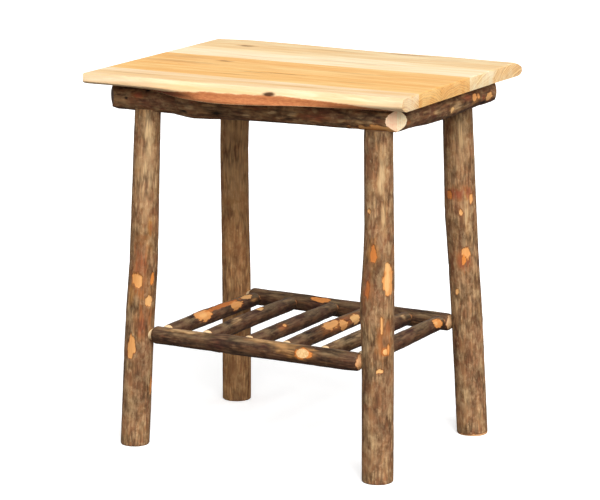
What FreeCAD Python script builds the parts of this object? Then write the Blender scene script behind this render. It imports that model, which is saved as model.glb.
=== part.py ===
import FreeCAD, Part
import math
import os
import re
import Sketcher

# Rustic hickory table
# Five glued boards with waney front and back edges lie on a mitred frame of four poles.
# Four splayed poles stand under the frame, and two stretchers carry the six slats of a shelf.
# Frame of the model: +Z up, +X to the right, the front faces -Y.
# The origin is on the floor under the middle of the top. Lengths are in millimetres.

sizes = {
    # Top
    "table_height": 660,
    "top_length": 615,
    "top_depth": 457,
    "top_thickness": 24,
    "end_skew": 10,
    "arris_ease": 1.6,
    "live_edge_swell": 24,
    # Glue and cutting
    "glue_line": 0.1,
    "cut_overrun": 6,
    # Pole frame under the top
    "frame_offset": 6.5,
    "end_overhang": 44.5,
    "edge_overhang": 60.5,
    "rail_thickness": 42,
    "rail_top_flat": 1.5,
    "front_corner_facet": 11,
    "back_corner_facet": 20,
    "spline_length": 26,
    "spline_width": 16,
    "spline_thickness": 6,
    # Legs, front left, front right, back right and back left
    "feet_spread": 16.6,
    "front_left_foot_inset": 21.4,
    "front_left_head_inset": 51.3,
    "front_left_thickness": 51,
    "front_right_foot_inset": 22.6,
    "front_right_head_inset": 28.8,
    "front_right_thickness": 54,
    "back_right_foot_inset": 18.2,
    "back_right_head_inset": 52.4,
    "back_right_thickness": 55,
    "back_left_foot_inset": 21.7,
    "back_left_head_inset": 27.5,
    "back_left_thickness": 53,
    "leg_crook": 6,
    "leg_tenon_diameter": 19,
    "leg_tenon_length": 22,
    "leg_seat_depth": 3,
    # Shelf
    "shelf_height": 200,
    "front_stretcher_thickness": 33,
    "back_stretcher_thickness": 32,
    "stretcher_crook": 4,
    "stretcher_tenon_diameter": 20,
    "stretcher_tenon_depth": 28,
    "stretcher_shoulder": 5,
    "stretcher_face_gap": 0.6,
    "slat_thickness": 27,
    "slat_crook": 4,
    "slat_tenon_diameter": 16,
    "slat_tenon_depth": 16,
    "slat_bare_end": 5,
    "first_slat_inset": 41.9,
    "last_slat_inset": 43.4,
    "slat_skew": 2,
    "branch_stub_inset": 134.4,
    "branch_stub_diameter": 23,
    "branch_stub_proud": 3,
}

# Heights, places and angles that follow from the sizes
worked = {
    "top_underside": "table_height - top_thickness",
    "frame_length": "top_length - 2 * end_overhang",
    "frame_depth": "top_depth - 2 * edge_overhang",
    "feet_depth": "frame_depth + feet_spread",
    "rail_radius": "rail_thickness / 2",
    "rail_height": "top_underside - rail_radius + rail_top_flat",
    "rail_left": "frame_offset - frame_length / 2",
    "rail_right": "frame_offset + frame_length / 2",
    "rail_front": "-frame_depth / 2",
    "rail_back": "frame_depth / 2",
    "rail_flat_height": "top_underside - glue_line - rail_height",
    "mitre_reach": "rail_thickness",
    "leg_seat_height": "rail_height - rail_radius + leg_seat_depth",
}

# Glued joints between the boards, as shares of the top's depth from its front
joint_shares = {
    "joint_front": 0.171,
    "joint_front_middle": 0.363,
    "joint_back_middle": 0.604,
    "joint_back": 0.816,
}
for joint, share in joint_shares.items():
    worked[joint] = f"top_depth * {share} - top_depth / 2"

# Each leg: which way it stands from the middle. It is straight and even up to the shelf, and
# the table gives its place, girth and sideways crook from there to the head
legs = {
    "front_left": (-1, -1),
    "front_right": (1, -1),
    "back_right": (1, 1),
    "back_left": (-1, 1),
}
upper_leg_shares = {
    "front_left": [(0.32, 0.98, 0.6), (0.62, 0.94, 0.3), (1, 0.88, 0)],
    "front_right": [(0.27, 1.08, -0.3), (0.4, 1, 0.1), (0.55, 0.93, 0.3), (1, 0.9, 0)],
    "back_right": [(0.3, 0.99, -0.3), (0.5, 1.03, -0.5), (1, 0.95, 0)],
    "back_left": [(0.4, 0.965, -0.4), (0.7, 0.98, -0.65), (1, 1, 0)],
}

# Rails: place along the rail from corner to corner, and girth
rail_shares = {
    "front_rail": [(0.16, 1), (0.21, 1.1), (0.27, 1.2), (0.33, 1.17), (0.45, 1.08), (0.84, 1)],
    "right_rail": [(0.15, 1), (0.32, 1.08), (0.6, 1.08), (0.85, 1)],
    "back_rail": [(0.17, 1), (0.32, 1.05), (0.6, 0.97), (0.83, 1)],
    "left_rail": [(0.15, 1), (0.45, 1.06), (0.85, 1)],
}

# Stretchers: place between the shoulders, girth and upward crook
stretcher_shares = {
    "front": [(0, 0.93, 0.1), (0.28, 0.93, 0.1), (0.35, 1, 0.3), (1, 1, 0.3)],
    "back": [(0, 0.96, -0.3), (0.28, 0.96, -0.3), (0.36, 1, -0.8), (1, 1, -0.8)],
}

# Slats: place along the bark, girth, sideways crook and upward crook, then the place of each
# slat between the first and the last, and its sideways lean
slat_shares = [
    [(0, 0.95, 0, 0), (0.4, 1.04, 0.5, 0.5), (1, 0.95, 0, 0)],
    [(0, 0.95, 0, 0), (0.45, 1.03, -0.5, 0.2), (1, 0.97, 0, 0)],
    [(0, 0.96, 0, 0), (0.6, 1.03, 0.5, 0.3), (1, 0.94, 0, 0)],
    [(0, 0.94, 0, 0), (0.4, 1.04, 0.3, 0.4), (1, 0.95, 0, 0)],
    [(0, 0.97, 0, 0), (0.65, 1.04, 0.3, 0.2), (1, 0.94, 0, 0)],
    [(0, 0.95, 0, 0), (0.5, 1.04, 0.4, 0.3), (1, 0.96, 0, 0)],
]
slat_place_shares = [0, 0.208, 0.423, 0.616, 0.81, 1]
slat_lean_shares = [-1, 1, -1, 1, -1, 3]

# Waney edges: place along the top, then how far the top arris, the knee of the face and the
# lower rim stand out from the straight edge, as shares of the swell
front_edge_shares = [
    (0, 0.15, 0.15, -1.7),
    (0.2, -0.02, 0.0, -1.75),
    (0.31, -0.15, 0.25, -0.2),
    (0.4, -0.25, 0.5, 0.7),
    (0.49, -0.35, 0.62, 1.0),
    (0.7, -0.6, -0.15, 0.0),
    (1, -0.9, -0.8, -1.5),
]
back_edge_shares = [
    (0, 0.1, 0.0, -0.6),
    (0.09, 1.0, 0.9, -0.1),
    (0.28, 0.8, 0.75, 0.1),
    (0.55, 0.33, 0.4, -0.3),
    (0.77, 0.6, 0.5, -0.4),
    (1, 0.3, 0.2, -1.0),
]
edge_knee_share = 0.44

for leg, (side, way) in legs.items():
    worked[leg + "_start"] = f"frame_offset + {side} * (frame_length / 2 - {leg}_foot_inset)"
    worked[leg + "_run"] = f"{side} * ({leg}_foot_inset - {leg}_head_inset)"
    worked[leg + "_depth"] = f"{way} * feet_depth / 2"
    worked[leg + "_reach"] = f"{way} * (frame_depth - feet_depth) / 2"
    worked[leg + "_lean"] = f"sqrt({leg}_run * {leg}_run + {leg}_reach * {leg}_reach)"
    worked[leg + "_slope"] = (
        f"sqrt({leg}_lean * {leg}_lean + rail_height * rail_height) / rail_height"
    )
    worked[leg + "_radius"] = f"{leg}_thickness / 2"
    worked[leg + "_shelf_place"] = f"{leg}_start + {leg}_run * shelf_height / rail_height"
    worked[leg + "_shelf_depth"] = f"{leg}_depth + {leg}_reach * shelf_height / rail_height"
    worked[leg + "_head_radius"] = f"{leg}_radius * {upper_leg_shares[leg][-1][1]}"
worked["first_slat_place"] = "front_left_shelf_place + first_slat_inset"
worked["last_slat_place"] = "front_right_shelf_place - last_slat_inset"

# A pole that lies along X or Y has its own X axis upwards
ALONG_X = "rotation(vector(0; 1; 0); 90) * rotation(vector(0; 0; 1); 180)"
ALONG_Y = "rotation(vector(1; 0; 0); -90) * rotation(vector(0; 0; 1); -90)"

doc = FreeCAD.newDocument("HickoryTable")


def with_sheet(text):
    """Put the sheet's name before each size that an expression names."""
    def place(match):
        name = match.group()
        if name in sizes:
            return "Sizes." + name
        if name in worked:
            return "Worked." + name
        return name
    return re.sub(r"[a-z][a-z_0-9]*", place, text)


def fill_sheet(name, cells, formula):
    sheet = doc.addObject("Spreadsheet::Sheet", name)
    for row, (alias, value) in enumerate(cells.items(), 1):
        sheet.set(f"A{row}", alias.replace("_", " "))
        sheet.set(f"B{row}", "=" + with_sheet(value) if formula else str(value))
        sheet.setAlias(f"B{row}", alias)
    return sheet


def bind(thing, **expressions):
    for prop, text in expressions.items():
        thing.setExpression(prop.replace("__", "."), with_sheet(text))


def plane(body, role):
    return next(f for f in body.Origin.OriginFeatures if f.Role == role)


def new_body(name):
    return doc.addObject("PartDesign::Body", name)


def attach(thing, body, role="XY_Plane"):
    thing.AttachmentSupport = [(plane(body, role), "")]
    thing.MapMode = "FlatFace"


def round_section(body, name, along, radius, aside="0", up="0"):
    """A circle across a pole, at a place along it."""
    sketch = body.newObject("Sketcher::SketchObject", name)
    attach(sketch, body)
    ring = sketch.addGeometry(Part.Circle(FreeCAD.Vector(), FreeCAD.Vector(0, 0, 1), 1), False)
    sketch.addConstraint(Sketcher.Constraint("Coincident", ring, 3, -1, 1))
    size = sketch.addConstraint(Sketcher.Constraint("Radius", ring, 1))
    sketch.setExpression(f"Constraints[{size}]", with_sheet(radius))
    sketch.setExpression("AttachmentOffset.Base.x", with_sheet(aside))
    sketch.setExpression("AttachmentOffset.Base.y", with_sheet(up))
    sketch.setExpression("AttachmentOffset.Base.z", with_sheet(along))
    return sketch


def planed_section(body, name, along, radius, lift, flat):
    """A circle across a pole with its upper side planed off at a height."""
    sketch = body.newObject("Sketcher::SketchObject", name)
    attach(sketch, body)
    first_radius = figure(radius)
    first_flat = figure(flat)
    half_angle = math.acos(first_flat / first_radius)
    circle = Part.Circle(FreeCAD.Vector(), FreeCAD.Vector(0, 0, 1), first_radius)
    bark = Part.ArcOfCircle(circle, half_angle, 2 * math.pi - half_angle)
    chord = Part.LineSegment(bark.EndPoint, bark.StartPoint)
    arc = sketch.addGeometry(bark, False)
    line = sketch.addGeometry(chord, False)
    sketch.addConstraint(Sketcher.Constraint("Coincident", arc, 2, line, 1))
    sketch.addConstraint(Sketcher.Constraint("Coincident", line, 2, arc, 1))
    sketch.addConstraint(Sketcher.Constraint("Coincident", arc, 3, -1, 1))
    sketch.addConstraint(Sketcher.Constraint("Vertical", line))
    size = sketch.addConstraint(Sketcher.Constraint("Radius", arc, first_radius))
    height = sketch.addConstraint(Sketcher.Constraint("DistanceX", -1, 1, line, 1, first_flat))
    sketch.setExpression(f"Constraints[{size}]", with_sheet(radius))
    sketch.setExpression(f"Constraints[{height}]", with_sheet(flat))
    sketch.setExpression("AttachmentOffset.Base.x", with_sheet(lift))
    sketch.setExpression("AttachmentOffset.Base.z", with_sheet(along))
    return sketch


def polygon(body, name, corners, role="XY_Plane"):
    """A closed outline of straight lines between corners given as pairs of expressions."""
    sketch = body.newObject("Sketcher::SketchObject", name)
    attach(sketch, body, role)
    count = len(corners)
    spots = []
    for x_text, y_text in corners:
        spots.append(FreeCAD.Vector(figure(x_text), figure(y_text), 0))
    for i in range(count):
        sketch.addGeometry(Part.LineSegment(spots[i], spots[(i + 1) % count]), False)
    for i in range(count):
        after = (i + 1) % count
        sketch.addConstraint(Sketcher.Constraint("Coincident", i, 2, after, 1))
    for i, (x_text, y_text) in enumerate(corners):
        across = sketch.addConstraint(Sketcher.Constraint("DistanceX", -1, 1, i, 1, spots[i].x))
        upward = sketch.addConstraint(Sketcher.Constraint("DistanceY", -1, 1, i, 1, spots[i].y))
        sketch.setExpression(f"Constraints[{across}]", with_sheet(x_text))
        sketch.setExpression(f"Constraints[{upward}]", with_sheet(y_text))
    return sketch


def figure(text):
    """The present value of an expression, for a sketch's first drawing."""
    value = doc.getObject("Worked").evalExpression(with_sheet(text))
    return float(getattr(value, "Value", value))


def loft(body, name, sections):
    skin = body.newObject("PartDesign::AdditiveLoft", name)
    skin.Profile = sections[0]
    skin.Sections = sections[1:]
    skin.Ruled = True
    return skin


def pole(name, stations):
    """A pole along its body's Z axis, lofted through (place, radius, aside, up) stations."""
    body = new_body(name)
    sections = []
    for number, station in enumerate(stations, 1):
        sections.append(round_section(body, f"{name}_section_{number}", *station))
    loft(body, name + "_bark", sections)
    return body


def tenon(body, name, start, length, radius):
    peg = body.newObject("PartDesign::AdditiveCylinder", name)
    attach(peg, body)
    bind(peg, AttachmentOffset__Base__z=start, Height=length, Radius=radius)
    return peg


def cylinder(name, radius, height, placement):
    tool = doc.addObject("Part::Cylinder", name)
    bind(tool, Radius=radius, Height=height, Placement=placement)
    return tool


def join(name, shapes):
    fused = doc.addObject("Part::MultiFuse", name)
    fused.Shapes = shapes
    return fused


def cut(name, base, tools):
    result = doc.addObject("Part::Cut", name)
    result.Base = base
    result.Tool = tools[0] if len(tools) == 1 else join(name + "_cuts", tools)
    return result


def common(name, base, tool):
    result = doc.addObject("Part::Common", name)
    result.Base = base
    result.Tool = tool
    return result


def standing(leg, lift):
    """The placement of something on a leg's axis, lifted along it from the floor."""
    turn = f"rotation(vector(-{leg}_reach; {leg}_run; 0); atan2({leg}_lean; rail_height))"
    foot = f"placement(vector({leg}_start; {leg}_depth; 0); {turn})"
    return f"{foot} * placement(vector(0; 0; {lift}); rotation(vector(0; 0; 1); 90))"


fill_sheet("Sizes", sizes, False)
doc.recompute()
fill_sheet("Worked", worked, True)
doc.recompute()

parts = {}
mortises = {}
for member in list(legs) + ["front_rail", "back_rail", "left_rail", "right_rail"]:
    mortises[member] = []


# Legs: a bark-on pole with a round tenon on its head
def make_leg(leg):
    name = "leg_" + leg
    radius = leg + "_radius"
    shelf_joint = f"shelf_height * {leg}_slope + {leg.split('_')[0]}_stretcher_thickness / 2"
    stations = [("-cut_overrun", radius, "0", "0"), (shelf_joint, radius, "0", "0")]
    for place, girth, crook in upper_leg_shares[leg]:
        along = f"(shelf_height + (leg_seat_height - shelf_height) * {place}) * {leg}_slope"
        stations.append((along, f"{radius} * {girth}", "0", f"leg_crook * {-crook}"))
    body = pole(name + "_pole", stations)
    head = f"leg_seat_height * {leg}_slope"
    tenon(body, name + "_tenon", head, "leg_tenon_length", "leg_tenon_diameter / 2")
    bind(body, Placement=standing(leg, "0"))

    # The rails are notched flat for the leg's head, and one is bored for its tenon
    cross_rail, side_rail = (end + "_rail" for end in leg.split("_"))
    seat = doc.addObject("Part::Box", name + "_seat")
    reach = f"({leg}_head_radius + glue_line)"
    bind(seat, Length=f"2 * {reach}", Width=f"2 * {reach}", Height="rail_thickness")
    bind(seat, Placement=standing(leg, f"{head} + glue_line - rail_thickness")
         + f" * placement(vector(-{reach}; -{reach}; 0); rotation(0; 0; 0))")
    bore = cylinder(
        name + "_bore", "leg_tenon_diameter / 2 + glue_line", "leg_tenon_length + glue_line",
        standing(leg, head),
    )
    mortises[cross_rail] += [seat, bore]
    mortises[side_rail].append(seat)
    return body


floor = doc.addObject("Part::Box", "floor_cut")
bind(floor, Length="top_length + top_length", Width="top_depth + top_depth", Height="table_height")
bind(floor, Placement="placement(vector(-top_length; -top_depth; -table_height); rotation(0; 0; 0))")

leg_poles = {leg: make_leg(leg) for leg in legs}


# Stretchers: from the left leg's middle to the right leg's, whittled down to a tenon at each end
def make_stretcher(side):
    left = side + "_left"
    right = side + "_right"
    name = side + "_stretcher"
    radius = f"{name}_thickness / 2"
    peg = "stretcher_tenon_diameter / 2"
    span = f"({right}_shelf_place - {left}_shelf_place)"
    left_face = f"({left}_radius + stretcher_face_gap)"
    right_face = f"({span} - {right}_radius - stretcher_face_gap)"
    first = f"({left_face} + stretcher_shoulder)"
    last = f"({right_face} - stretcher_shoulder)"
    stations = []
    for place, girth, up in stretcher_shares[side]:
        along = f"{first} + ({last} - {first}) * {place}"
        stations.append((along, f"{radius} * {girth}", f"stretcher_crook * {up}", "0"))
    ends = [(left_face, peg, "0", "0")], [(right_face, peg, "0", "0")]
    body = pole(name + "_pole", ends[0] + stations + ends[1])
    tenon(body, name + "_left_tenon", f"{left_face} - stretcher_tenon_depth",
          "stretcher_tenon_depth", peg)
    tenon(body, name + "_right_tenon", right_face, "stretcher_tenon_depth", peg)
    base = f"placement(vector({left}_shelf_place; {left}_shelf_depth; shelf_height); {ALONG_X})"
    bind(body, Placement=base)
    for leg, start in (
        (left, f"{left_face} - stretcher_tenon_depth - glue_line"),
        (right, f"{right_face} - cut_overrun"),
    ):
        tool = cylinder(
            f"{name}_{leg}_mortise", f"{peg} + glue_line",
            "stretcher_tenon_depth + glue_line + cut_overrun",
            f"{base} * placement(vector(0; 0; {start}); rotation(0; 0; 0))",
        )
        mortises[leg].append(tool)
    return body


front_stretcher = make_stretcher("front")
back_stretcher = make_stretcher("back")

# The sawn stub of a branch stands out of the front stretcher
stub = front_stretcher.newObject("PartDesign::AdditiveCone", "branch_stub")
attach(stub, front_stretcher)
stub.AttachmentOffset = FreeCAD.Placement(
    FreeCAD.Vector(), FreeCAD.Rotation(FreeCAD.Vector(1, 0, 0), -90)
)
bind(
    stub,
    AttachmentOffset__Base__z="front_right_shelf_place - branch_stub_inset - front_left_shelf_place",
    Height="front_stretcher_thickness / 2 + branch_stub_proud",
    Radius1="branch_stub_diameter / 2 + branch_stub_proud",
    Radius2="branch_stub_diameter / 2",
)

# Slats: from the front stretcher to the back one, each with a bare tenon let into both
front_slat_cuts = []
back_slat_cuts = []
for number, (shares, place_share, lean_share) in enumerate(
    zip(slat_shares, slat_place_shares, slat_lean_shares), 1
):
    name = f"shelf_slat_{number}"
    skew = f"slat_skew * {lean_share}"
    front_place = f"(first_slat_place + (last_slat_place - first_slat_place) * {place_share})"
    front_y = "front_left_shelf_depth"
    back_y = "back_left_shelf_depth"
    span = f"({back_y} - {front_y})"
    peg = "slat_tenon_diameter / 2"
    radius = "slat_thickness / 2"
    front_face = "(front_stretcher_thickness / 2 + glue_line)"
    back_face = f"({span} - back_stretcher_thickness / 2 - glue_line)"
    first = f"({front_face} + slat_bare_end)"
    last = f"({back_face} - slat_bare_end)"
    stations = []
    for place, girth, aside, up in shares:
        stations.append((
            f"{first} + ({last} - {first}) * {place}", f"{radius} * {girth}",
            f"slat_crook * {up}", f"slat_crook * {aside}",
        ))
    body = pole(name + "_pole", stations)
    tenon(body, name + "_front_tenon", f"{front_face} - slat_tenon_depth",
          "slat_tenon_depth + slat_bare_end", peg)
    tenon(body, name + "_back_tenon", last, "slat_tenon_depth + slat_bare_end", peg)
    turn = f"rotation(vector(0; 0; 1); atan2({skew}; {span})) * {ALONG_Y}"
    base = f"placement(vector({front_place}; {front_y}; shelf_height); {turn})"
    bind(body, Placement=base)
    for cuts, end, start in (
        (front_slat_cuts, "front", f"{front_face} - slat_tenon_depth - glue_line"),
        (back_slat_cuts, "back", f"{back_face} - cut_overrun"),
    ):
        cuts.append(cylinder(
            f"{name}_{end}_mortise", f"{peg} + glue_line",
            "slat_tenon_depth + glue_line + cut_overrun",
            f"{base} * placement(vector(0; 0; {start}); rotation(0; 0; 0))",
        ))
    parts[name] = body

parts["front_stretcher"] = cut("front_stretcher", front_stretcher, front_slat_cuts)
parts["back_stretcher"] = cut("back_stretcher", back_stretcher, back_slat_cuts)

for leg, body in leg_poles.items():
    parts["leg_" + leg] = cut("leg_" + leg, body, [floor] + mortises[leg])

# Splines: a flat key across each mitre, let into both rails
def spline(name, corner, spare):
    """A flat block across a mitre, with something to spare on every side for its slot."""
    x_text, y_text, heading = corners[corner]
    block = doc.addObject("Part::Box", name)
    bind(
        block,
        Length=f"spline_length + 2 * {spare}", Width=f"spline_width + 2 * {spare}",
        Height=f"spline_thickness + 2 * {spare}",
        Placement=(
            f"placement(vector({x_text}; {y_text}; rail_height);"
            f" rotation(vector(0; 0; 1); {heading}))"
            f" * placement(vector(-spline_length / 2 - {spare}; -spline_width / 2 - {spare};"
            f" -spline_thickness / 2 - {spare}); rotation(0; 0; 0))"
        ),
    )
    return block


corners = {
    "front_left": ("rail_left", "rail_front", -45),
    "front_right": ("rail_right", "rail_front", 45),
    "back_right": ("rail_right", "rail_back", 135),
    "back_left": ("rail_left", "rail_back", -135),
}
splines = []
for corner in corners:
    splines.append(spline("spline_" + corner, corner, "0"))
    slot = spline("spline_slot_" + corner, corner, "glue_line")
    for side in corner.split("_"):
        mortises[side + "_rail"].append(slot)
group = doc.addObject("Part::Compound", "corner_splines")
group.Links = splines
parts["corner_splines"] = group


# Rails: a pole planed flat on top, mitred at both ends, with each corner knocked off
def make_rail(name, outline):
    along_x = name in ("front_rail", "back_rail")
    span = "frame_length" if along_x else "frame_depth"
    body = new_body(name + "_pole")
    stations = [("-rail_radius", "1")]
    for place, girth in rail_shares[name]:
        stations.append((f"{span} * {place}", f"{girth}"))
    stations.append((f"{span} + rail_radius", "1"))
    sections = []
    for number, (along, girth) in enumerate(stations, 1):
        radius = f"rail_radius * {girth}"
        lift = f"rail_radius * (1 - {girth})"
        sections.append(planed_section(
            body, f"{name}_section_{number}", along, radius, lift, f"rail_flat_height - {lift}",
        ))
    loft(body, name + "_bark", sections)
    if along_x:
        start = f"vector(rail_left; {'rail_front' if name == 'front_rail' else 'rail_back'}; rail_height)"
        turn = ALONG_X
    else:
        start = f"vector({'rail_left' if name == 'left_rail' else 'rail_right'}; rail_front; rail_height)"
        turn = ALONG_Y
    bind(body, Placement=f"placement({start}; {turn})")

    block = new_body(name + "_outline")
    sketch = polygon(block, name + "_plan", outline)
    pad = block.newObject("PartDesign::Pad", name + "_plan_pad")
    pad.Profile = sketch
    bind(pad, Length="table_height")
    mitred = common(name + "_mitred", body, block)
    return cut(name, mitred, mortises[name])


def facet(which):
    return f"{which}_corner_facet"


def cross_rail_outline(y_text, way, which):
    """The plan of the front or back rail: mitred ends, corners knocked off."""
    near = f"{facet(which)} / sqrt(2)"
    far = f"{facet(which)} * sqrt(2)"
    return [
        ("rail_left + mitre_reach + glue_line", f"{y_text} - {way} * mitre_reach"),
        (f"rail_left - {near} + glue_line", f"{y_text} + {way} * {near}"),
        (f"rail_left - {far} + mitre_reach", f"{y_text} + {way} * mitre_reach"),
        (f"rail_right + {far} - mitre_reach", f"{y_text} + {way} * mitre_reach"),
        (f"rail_right + {near} - glue_line", f"{y_text} + {way} * {near}"),
        ("rail_right - mitre_reach - glue_line", f"{y_text} - {way} * mitre_reach"),
    ]


def side_rail_outline(x_text, way):
    outline = []
    for which, y_text, turn in (("front", "rail_front", 1), ("back", "rail_back", -1)):
        near = f"{facet(which)} / sqrt(2)"
        far = f"{facet(which)} * sqrt(2)"
        corner = [
            (f"{x_text} - {way} * mitre_reach", f"{y_text} + {turn} * mitre_reach"),
            (f"{x_text} + {way} * {near}", f"{y_text} - {turn} * {near}"),
            (f"{x_text} + {way} * mitre_reach", f"{y_text} + {turn} * (mitre_reach - {far})"),
        ]
        outline += corner if turn == 1 else corner[::-1]
    return outline


parts["front_rail"] = make_rail("front_rail", cross_rail_outline("rail_front", -1, "front"))
parts["back_rail"] = make_rail("back_rail", cross_rail_outline("rail_back", 1, "back"))
parts["left_rail"] = make_rail("left_rail", side_rail_outline("rail_left", -1))
parts["right_rail"] = make_rail("right_rail", side_rail_outline("rail_right", 1))

# Top: five boards, sawn off together at slightly skewed ends, with the end arrises eased
def make_top_ends():
    block = new_body("top_ends")
    lean = "end_skew / top_depth * (live_edge_swell + cut_overrun)"
    out = "(top_depth / 2 + live_edge_swell + cut_overrun)"
    sketch = polygon(block, "top_ends_plan", [
        (f"-top_length / 2 + end_skew + {lean}", f"-{out}"),
        (f"top_length / 2 + {lean}", f"-{out}"),
        (f"top_length / 2 - end_skew - {lean}", out),
        (f"-top_length / 2 - {lean}", out),
    ])
    pad = block.newObject("PartDesign::Pad", "top_ends_pad")
    pad.Profile = sketch
    bind(pad, Length="top_thickness")
    bind(block, Placement="placement(vector(0; 0; top_underside); rotation(0; 0; 0))")
    doc.recompute()
    arrises = []
    for number, edge in enumerate(pad.Shape.Edges, 1):
        if abs(edge.tangentAt(edge.FirstParameter).y) > abs(edge.tangentAt(edge.FirstParameter).x):
            if abs(edge.tangentAt(edge.FirstParameter).z) < abs(edge.tangentAt(edge.FirstParameter).y):
                arrises.append(f"Edge{number}")
    eased = block.newObject("PartDesign::Chamfer", "top_ends_eased")
    eased.Base = (pad, arrises)
    bind(eased, Size="arris_ease")
    return block


def straight_board(name, front_joint, back_joint):
    board = doc.addObject("Part::Box", name + "_blank")
    bind(board, Length="top_length + cut_overrun + cut_overrun")
    bind(board, Width=f"{back_joint} - {front_joint} - glue_line", Height="top_thickness")
    corner = f"vector(-top_length / 2 - cut_overrun; {front_joint} + glue_line / 2; top_underside)"
    bind(board, Placement=f"placement({corner}; rotation(0; 0; 0))")
    return board


def waney_board(name, joint, way, shares):
    """A board with one natural edge, lofted through upright sections along the top."""
    body = new_body(name + "_blank")
    inner = f"{joint} + {way} * glue_line / 2"
    knee = f"top_underside + top_thickness * {edge_knee_share}"
    sections = []
    for number, (place, arris, middle, rim) in enumerate(shares, 1):
        along = f"top_length * {place - 0.5}"
        if place == 0:
            along += " - cut_overrun"
        if place == 1:
            along += " + cut_overrun"
        outer = [f"{way} * (top_depth / 2 + live_edge_swell * {s})" for s in (rim, middle, arris)]
        sketch = polygon(body, f"{name}_section_{number}", [
            (inner, "top_underside"),
            (outer[0], "top_underside"),
            (outer[1], knee),
            (outer[2], "table_height"),
            (inner, "table_height"),
        ], "YZ_Plane")
        sketch.setExpression("AttachmentOffset.Base.z", with_sheet(along))
        sections.append(sketch)
    loft(body, name + "_loft", sections)
    return body


top_ends = make_top_ends()
boards = {
    "front": waney_board("front_board", "joint_front", -1, front_edge_shares),
    "front_middle": straight_board("front_middle_board", "joint_front", "joint_front_middle"),
    "middle": straight_board("middle_board", "joint_front_middle", "joint_back_middle"),
    "back_middle": straight_board("back_middle_board", "joint_back_middle", "joint_back"),
    "back": waney_board("back_board", "joint_back", 1, back_edge_shares),
}
for which, blank in boards.items():
    parts[f"top_board_{which}"] = common(f"top_board_{which}", blank, top_ends)

# Every object has to be sound before anything is written
doc.recompute()
faults = []
for thing in doc.Objects:
    if "Invalid" in thing.State or "Error" in thing.State:
        faults.append(f"{thing.Name}: {thing.State}")
for name, thing in parts.items():
    thing.Label = name
    if thing.Shape.isNull() or not thing.Shape.isValid() or not thing.Shape.Solids:
        faults.append(f"{name}: unsound shape")
if faults:
    raise SystemExit("\n".join(faults))

os.makedirs("parts", exist_ok=True)
for name, thing in sorted(parts.items()):
    thing.Shape.exportStep(f"parts/{name}.step")
    print(f"{name}: {len(thing.Shape.Solids)} solid, {thing.Shape.Volume / 1000:.1f} cm3")
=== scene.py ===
import math

import bmesh
import bpy
import numpy as np
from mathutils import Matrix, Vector


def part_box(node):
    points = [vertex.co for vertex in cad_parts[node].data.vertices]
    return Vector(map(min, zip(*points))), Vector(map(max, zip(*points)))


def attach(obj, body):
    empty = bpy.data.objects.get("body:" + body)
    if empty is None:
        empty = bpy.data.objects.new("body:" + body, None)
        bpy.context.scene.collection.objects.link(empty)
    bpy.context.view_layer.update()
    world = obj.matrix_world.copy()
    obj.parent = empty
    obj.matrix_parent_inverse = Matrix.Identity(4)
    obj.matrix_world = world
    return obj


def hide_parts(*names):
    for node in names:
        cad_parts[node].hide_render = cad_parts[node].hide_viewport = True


# Rustic hickory table: the bark-on poles, the glued waney top and the shelf, dressed for the camera
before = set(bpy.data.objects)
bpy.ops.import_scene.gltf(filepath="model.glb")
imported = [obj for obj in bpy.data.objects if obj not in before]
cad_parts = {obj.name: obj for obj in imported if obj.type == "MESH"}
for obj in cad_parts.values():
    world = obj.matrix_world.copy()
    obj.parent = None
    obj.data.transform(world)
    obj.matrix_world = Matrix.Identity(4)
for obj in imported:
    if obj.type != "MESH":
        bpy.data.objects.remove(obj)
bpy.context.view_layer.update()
print("frame loaded")


# small helpers for node trees
def feed(tree, socket, value):
    if isinstance(value, bpy.types.NodeSocket):
        tree.links.new(value, socket)
    elif value is not None:
        socket.default_value = value


def maths(tree, operation, *values, clamp=False):
    node = tree.nodes.new("ShaderNodeMath")
    node.operation = operation
    node.use_clamp = clamp
    for socket, value in zip(node.inputs, values):
        feed(tree, socket, value)
    return node.outputs[0]


def vectorMaths(tree, operation, *values):
    node = tree.nodes.new("ShaderNodeVectorMath")
    node.operation = operation
    for socket, value in zip(node.inputs, values):
        feed(tree, socket, value)
    return node.outputs["Value"] if operation in ("DOT_PRODUCT", "LENGTH") else node.outputs[0]


def scaled(tree, vector, factor):
    node = tree.nodes.new("ShaderNodeVectorMath")
    node.operation = "SCALE"
    feed(tree, node.inputs[0], vector)
    feed(tree, node.inputs["Scale"], factor)
    return node.outputs[0]


def split(tree, vector):
    node = tree.nodes.new("ShaderNodeSeparateXYZ")
    feed(tree, node.inputs[0], vector)
    return node.outputs[0], node.outputs[1], node.outputs[2]


def joined(tree, x, y, z):
    node = tree.nodes.new("ShaderNodeCombineXYZ")
    for socket, value in zip(node.inputs, (x, y, z)):
        feed(tree, socket, value)
    return node.outputs[0]


def ramp(tree, value, low, high, bottom=0.0, top=1.0, soft=True):
    node = tree.nodes.new("ShaderNodeMapRange")
    node.interpolation_type = "SMOOTHSTEP" if soft else "LINEAR"
    for socket, given in zip(node.inputs, (value, low, high, bottom, top)):
        feed(tree, socket, given)
    return node.outputs[0]


def noise(tree, vector, scale, detail=2.0, roughness=0.5, distortion=0.0):
    node = tree.nodes.new("ShaderNodeTexNoise")
    feed(tree, node.inputs["Vector"], vector)
    feed(tree, node.inputs["Scale"], scale)
    node.inputs["Detail"].default_value = detail
    node.inputs["Roughness"].default_value = roughness
    node.inputs["Distortion"].default_value = distortion
    return node.outputs["Fac"] if "Fac" in node.outputs else node.outputs[0]


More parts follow.
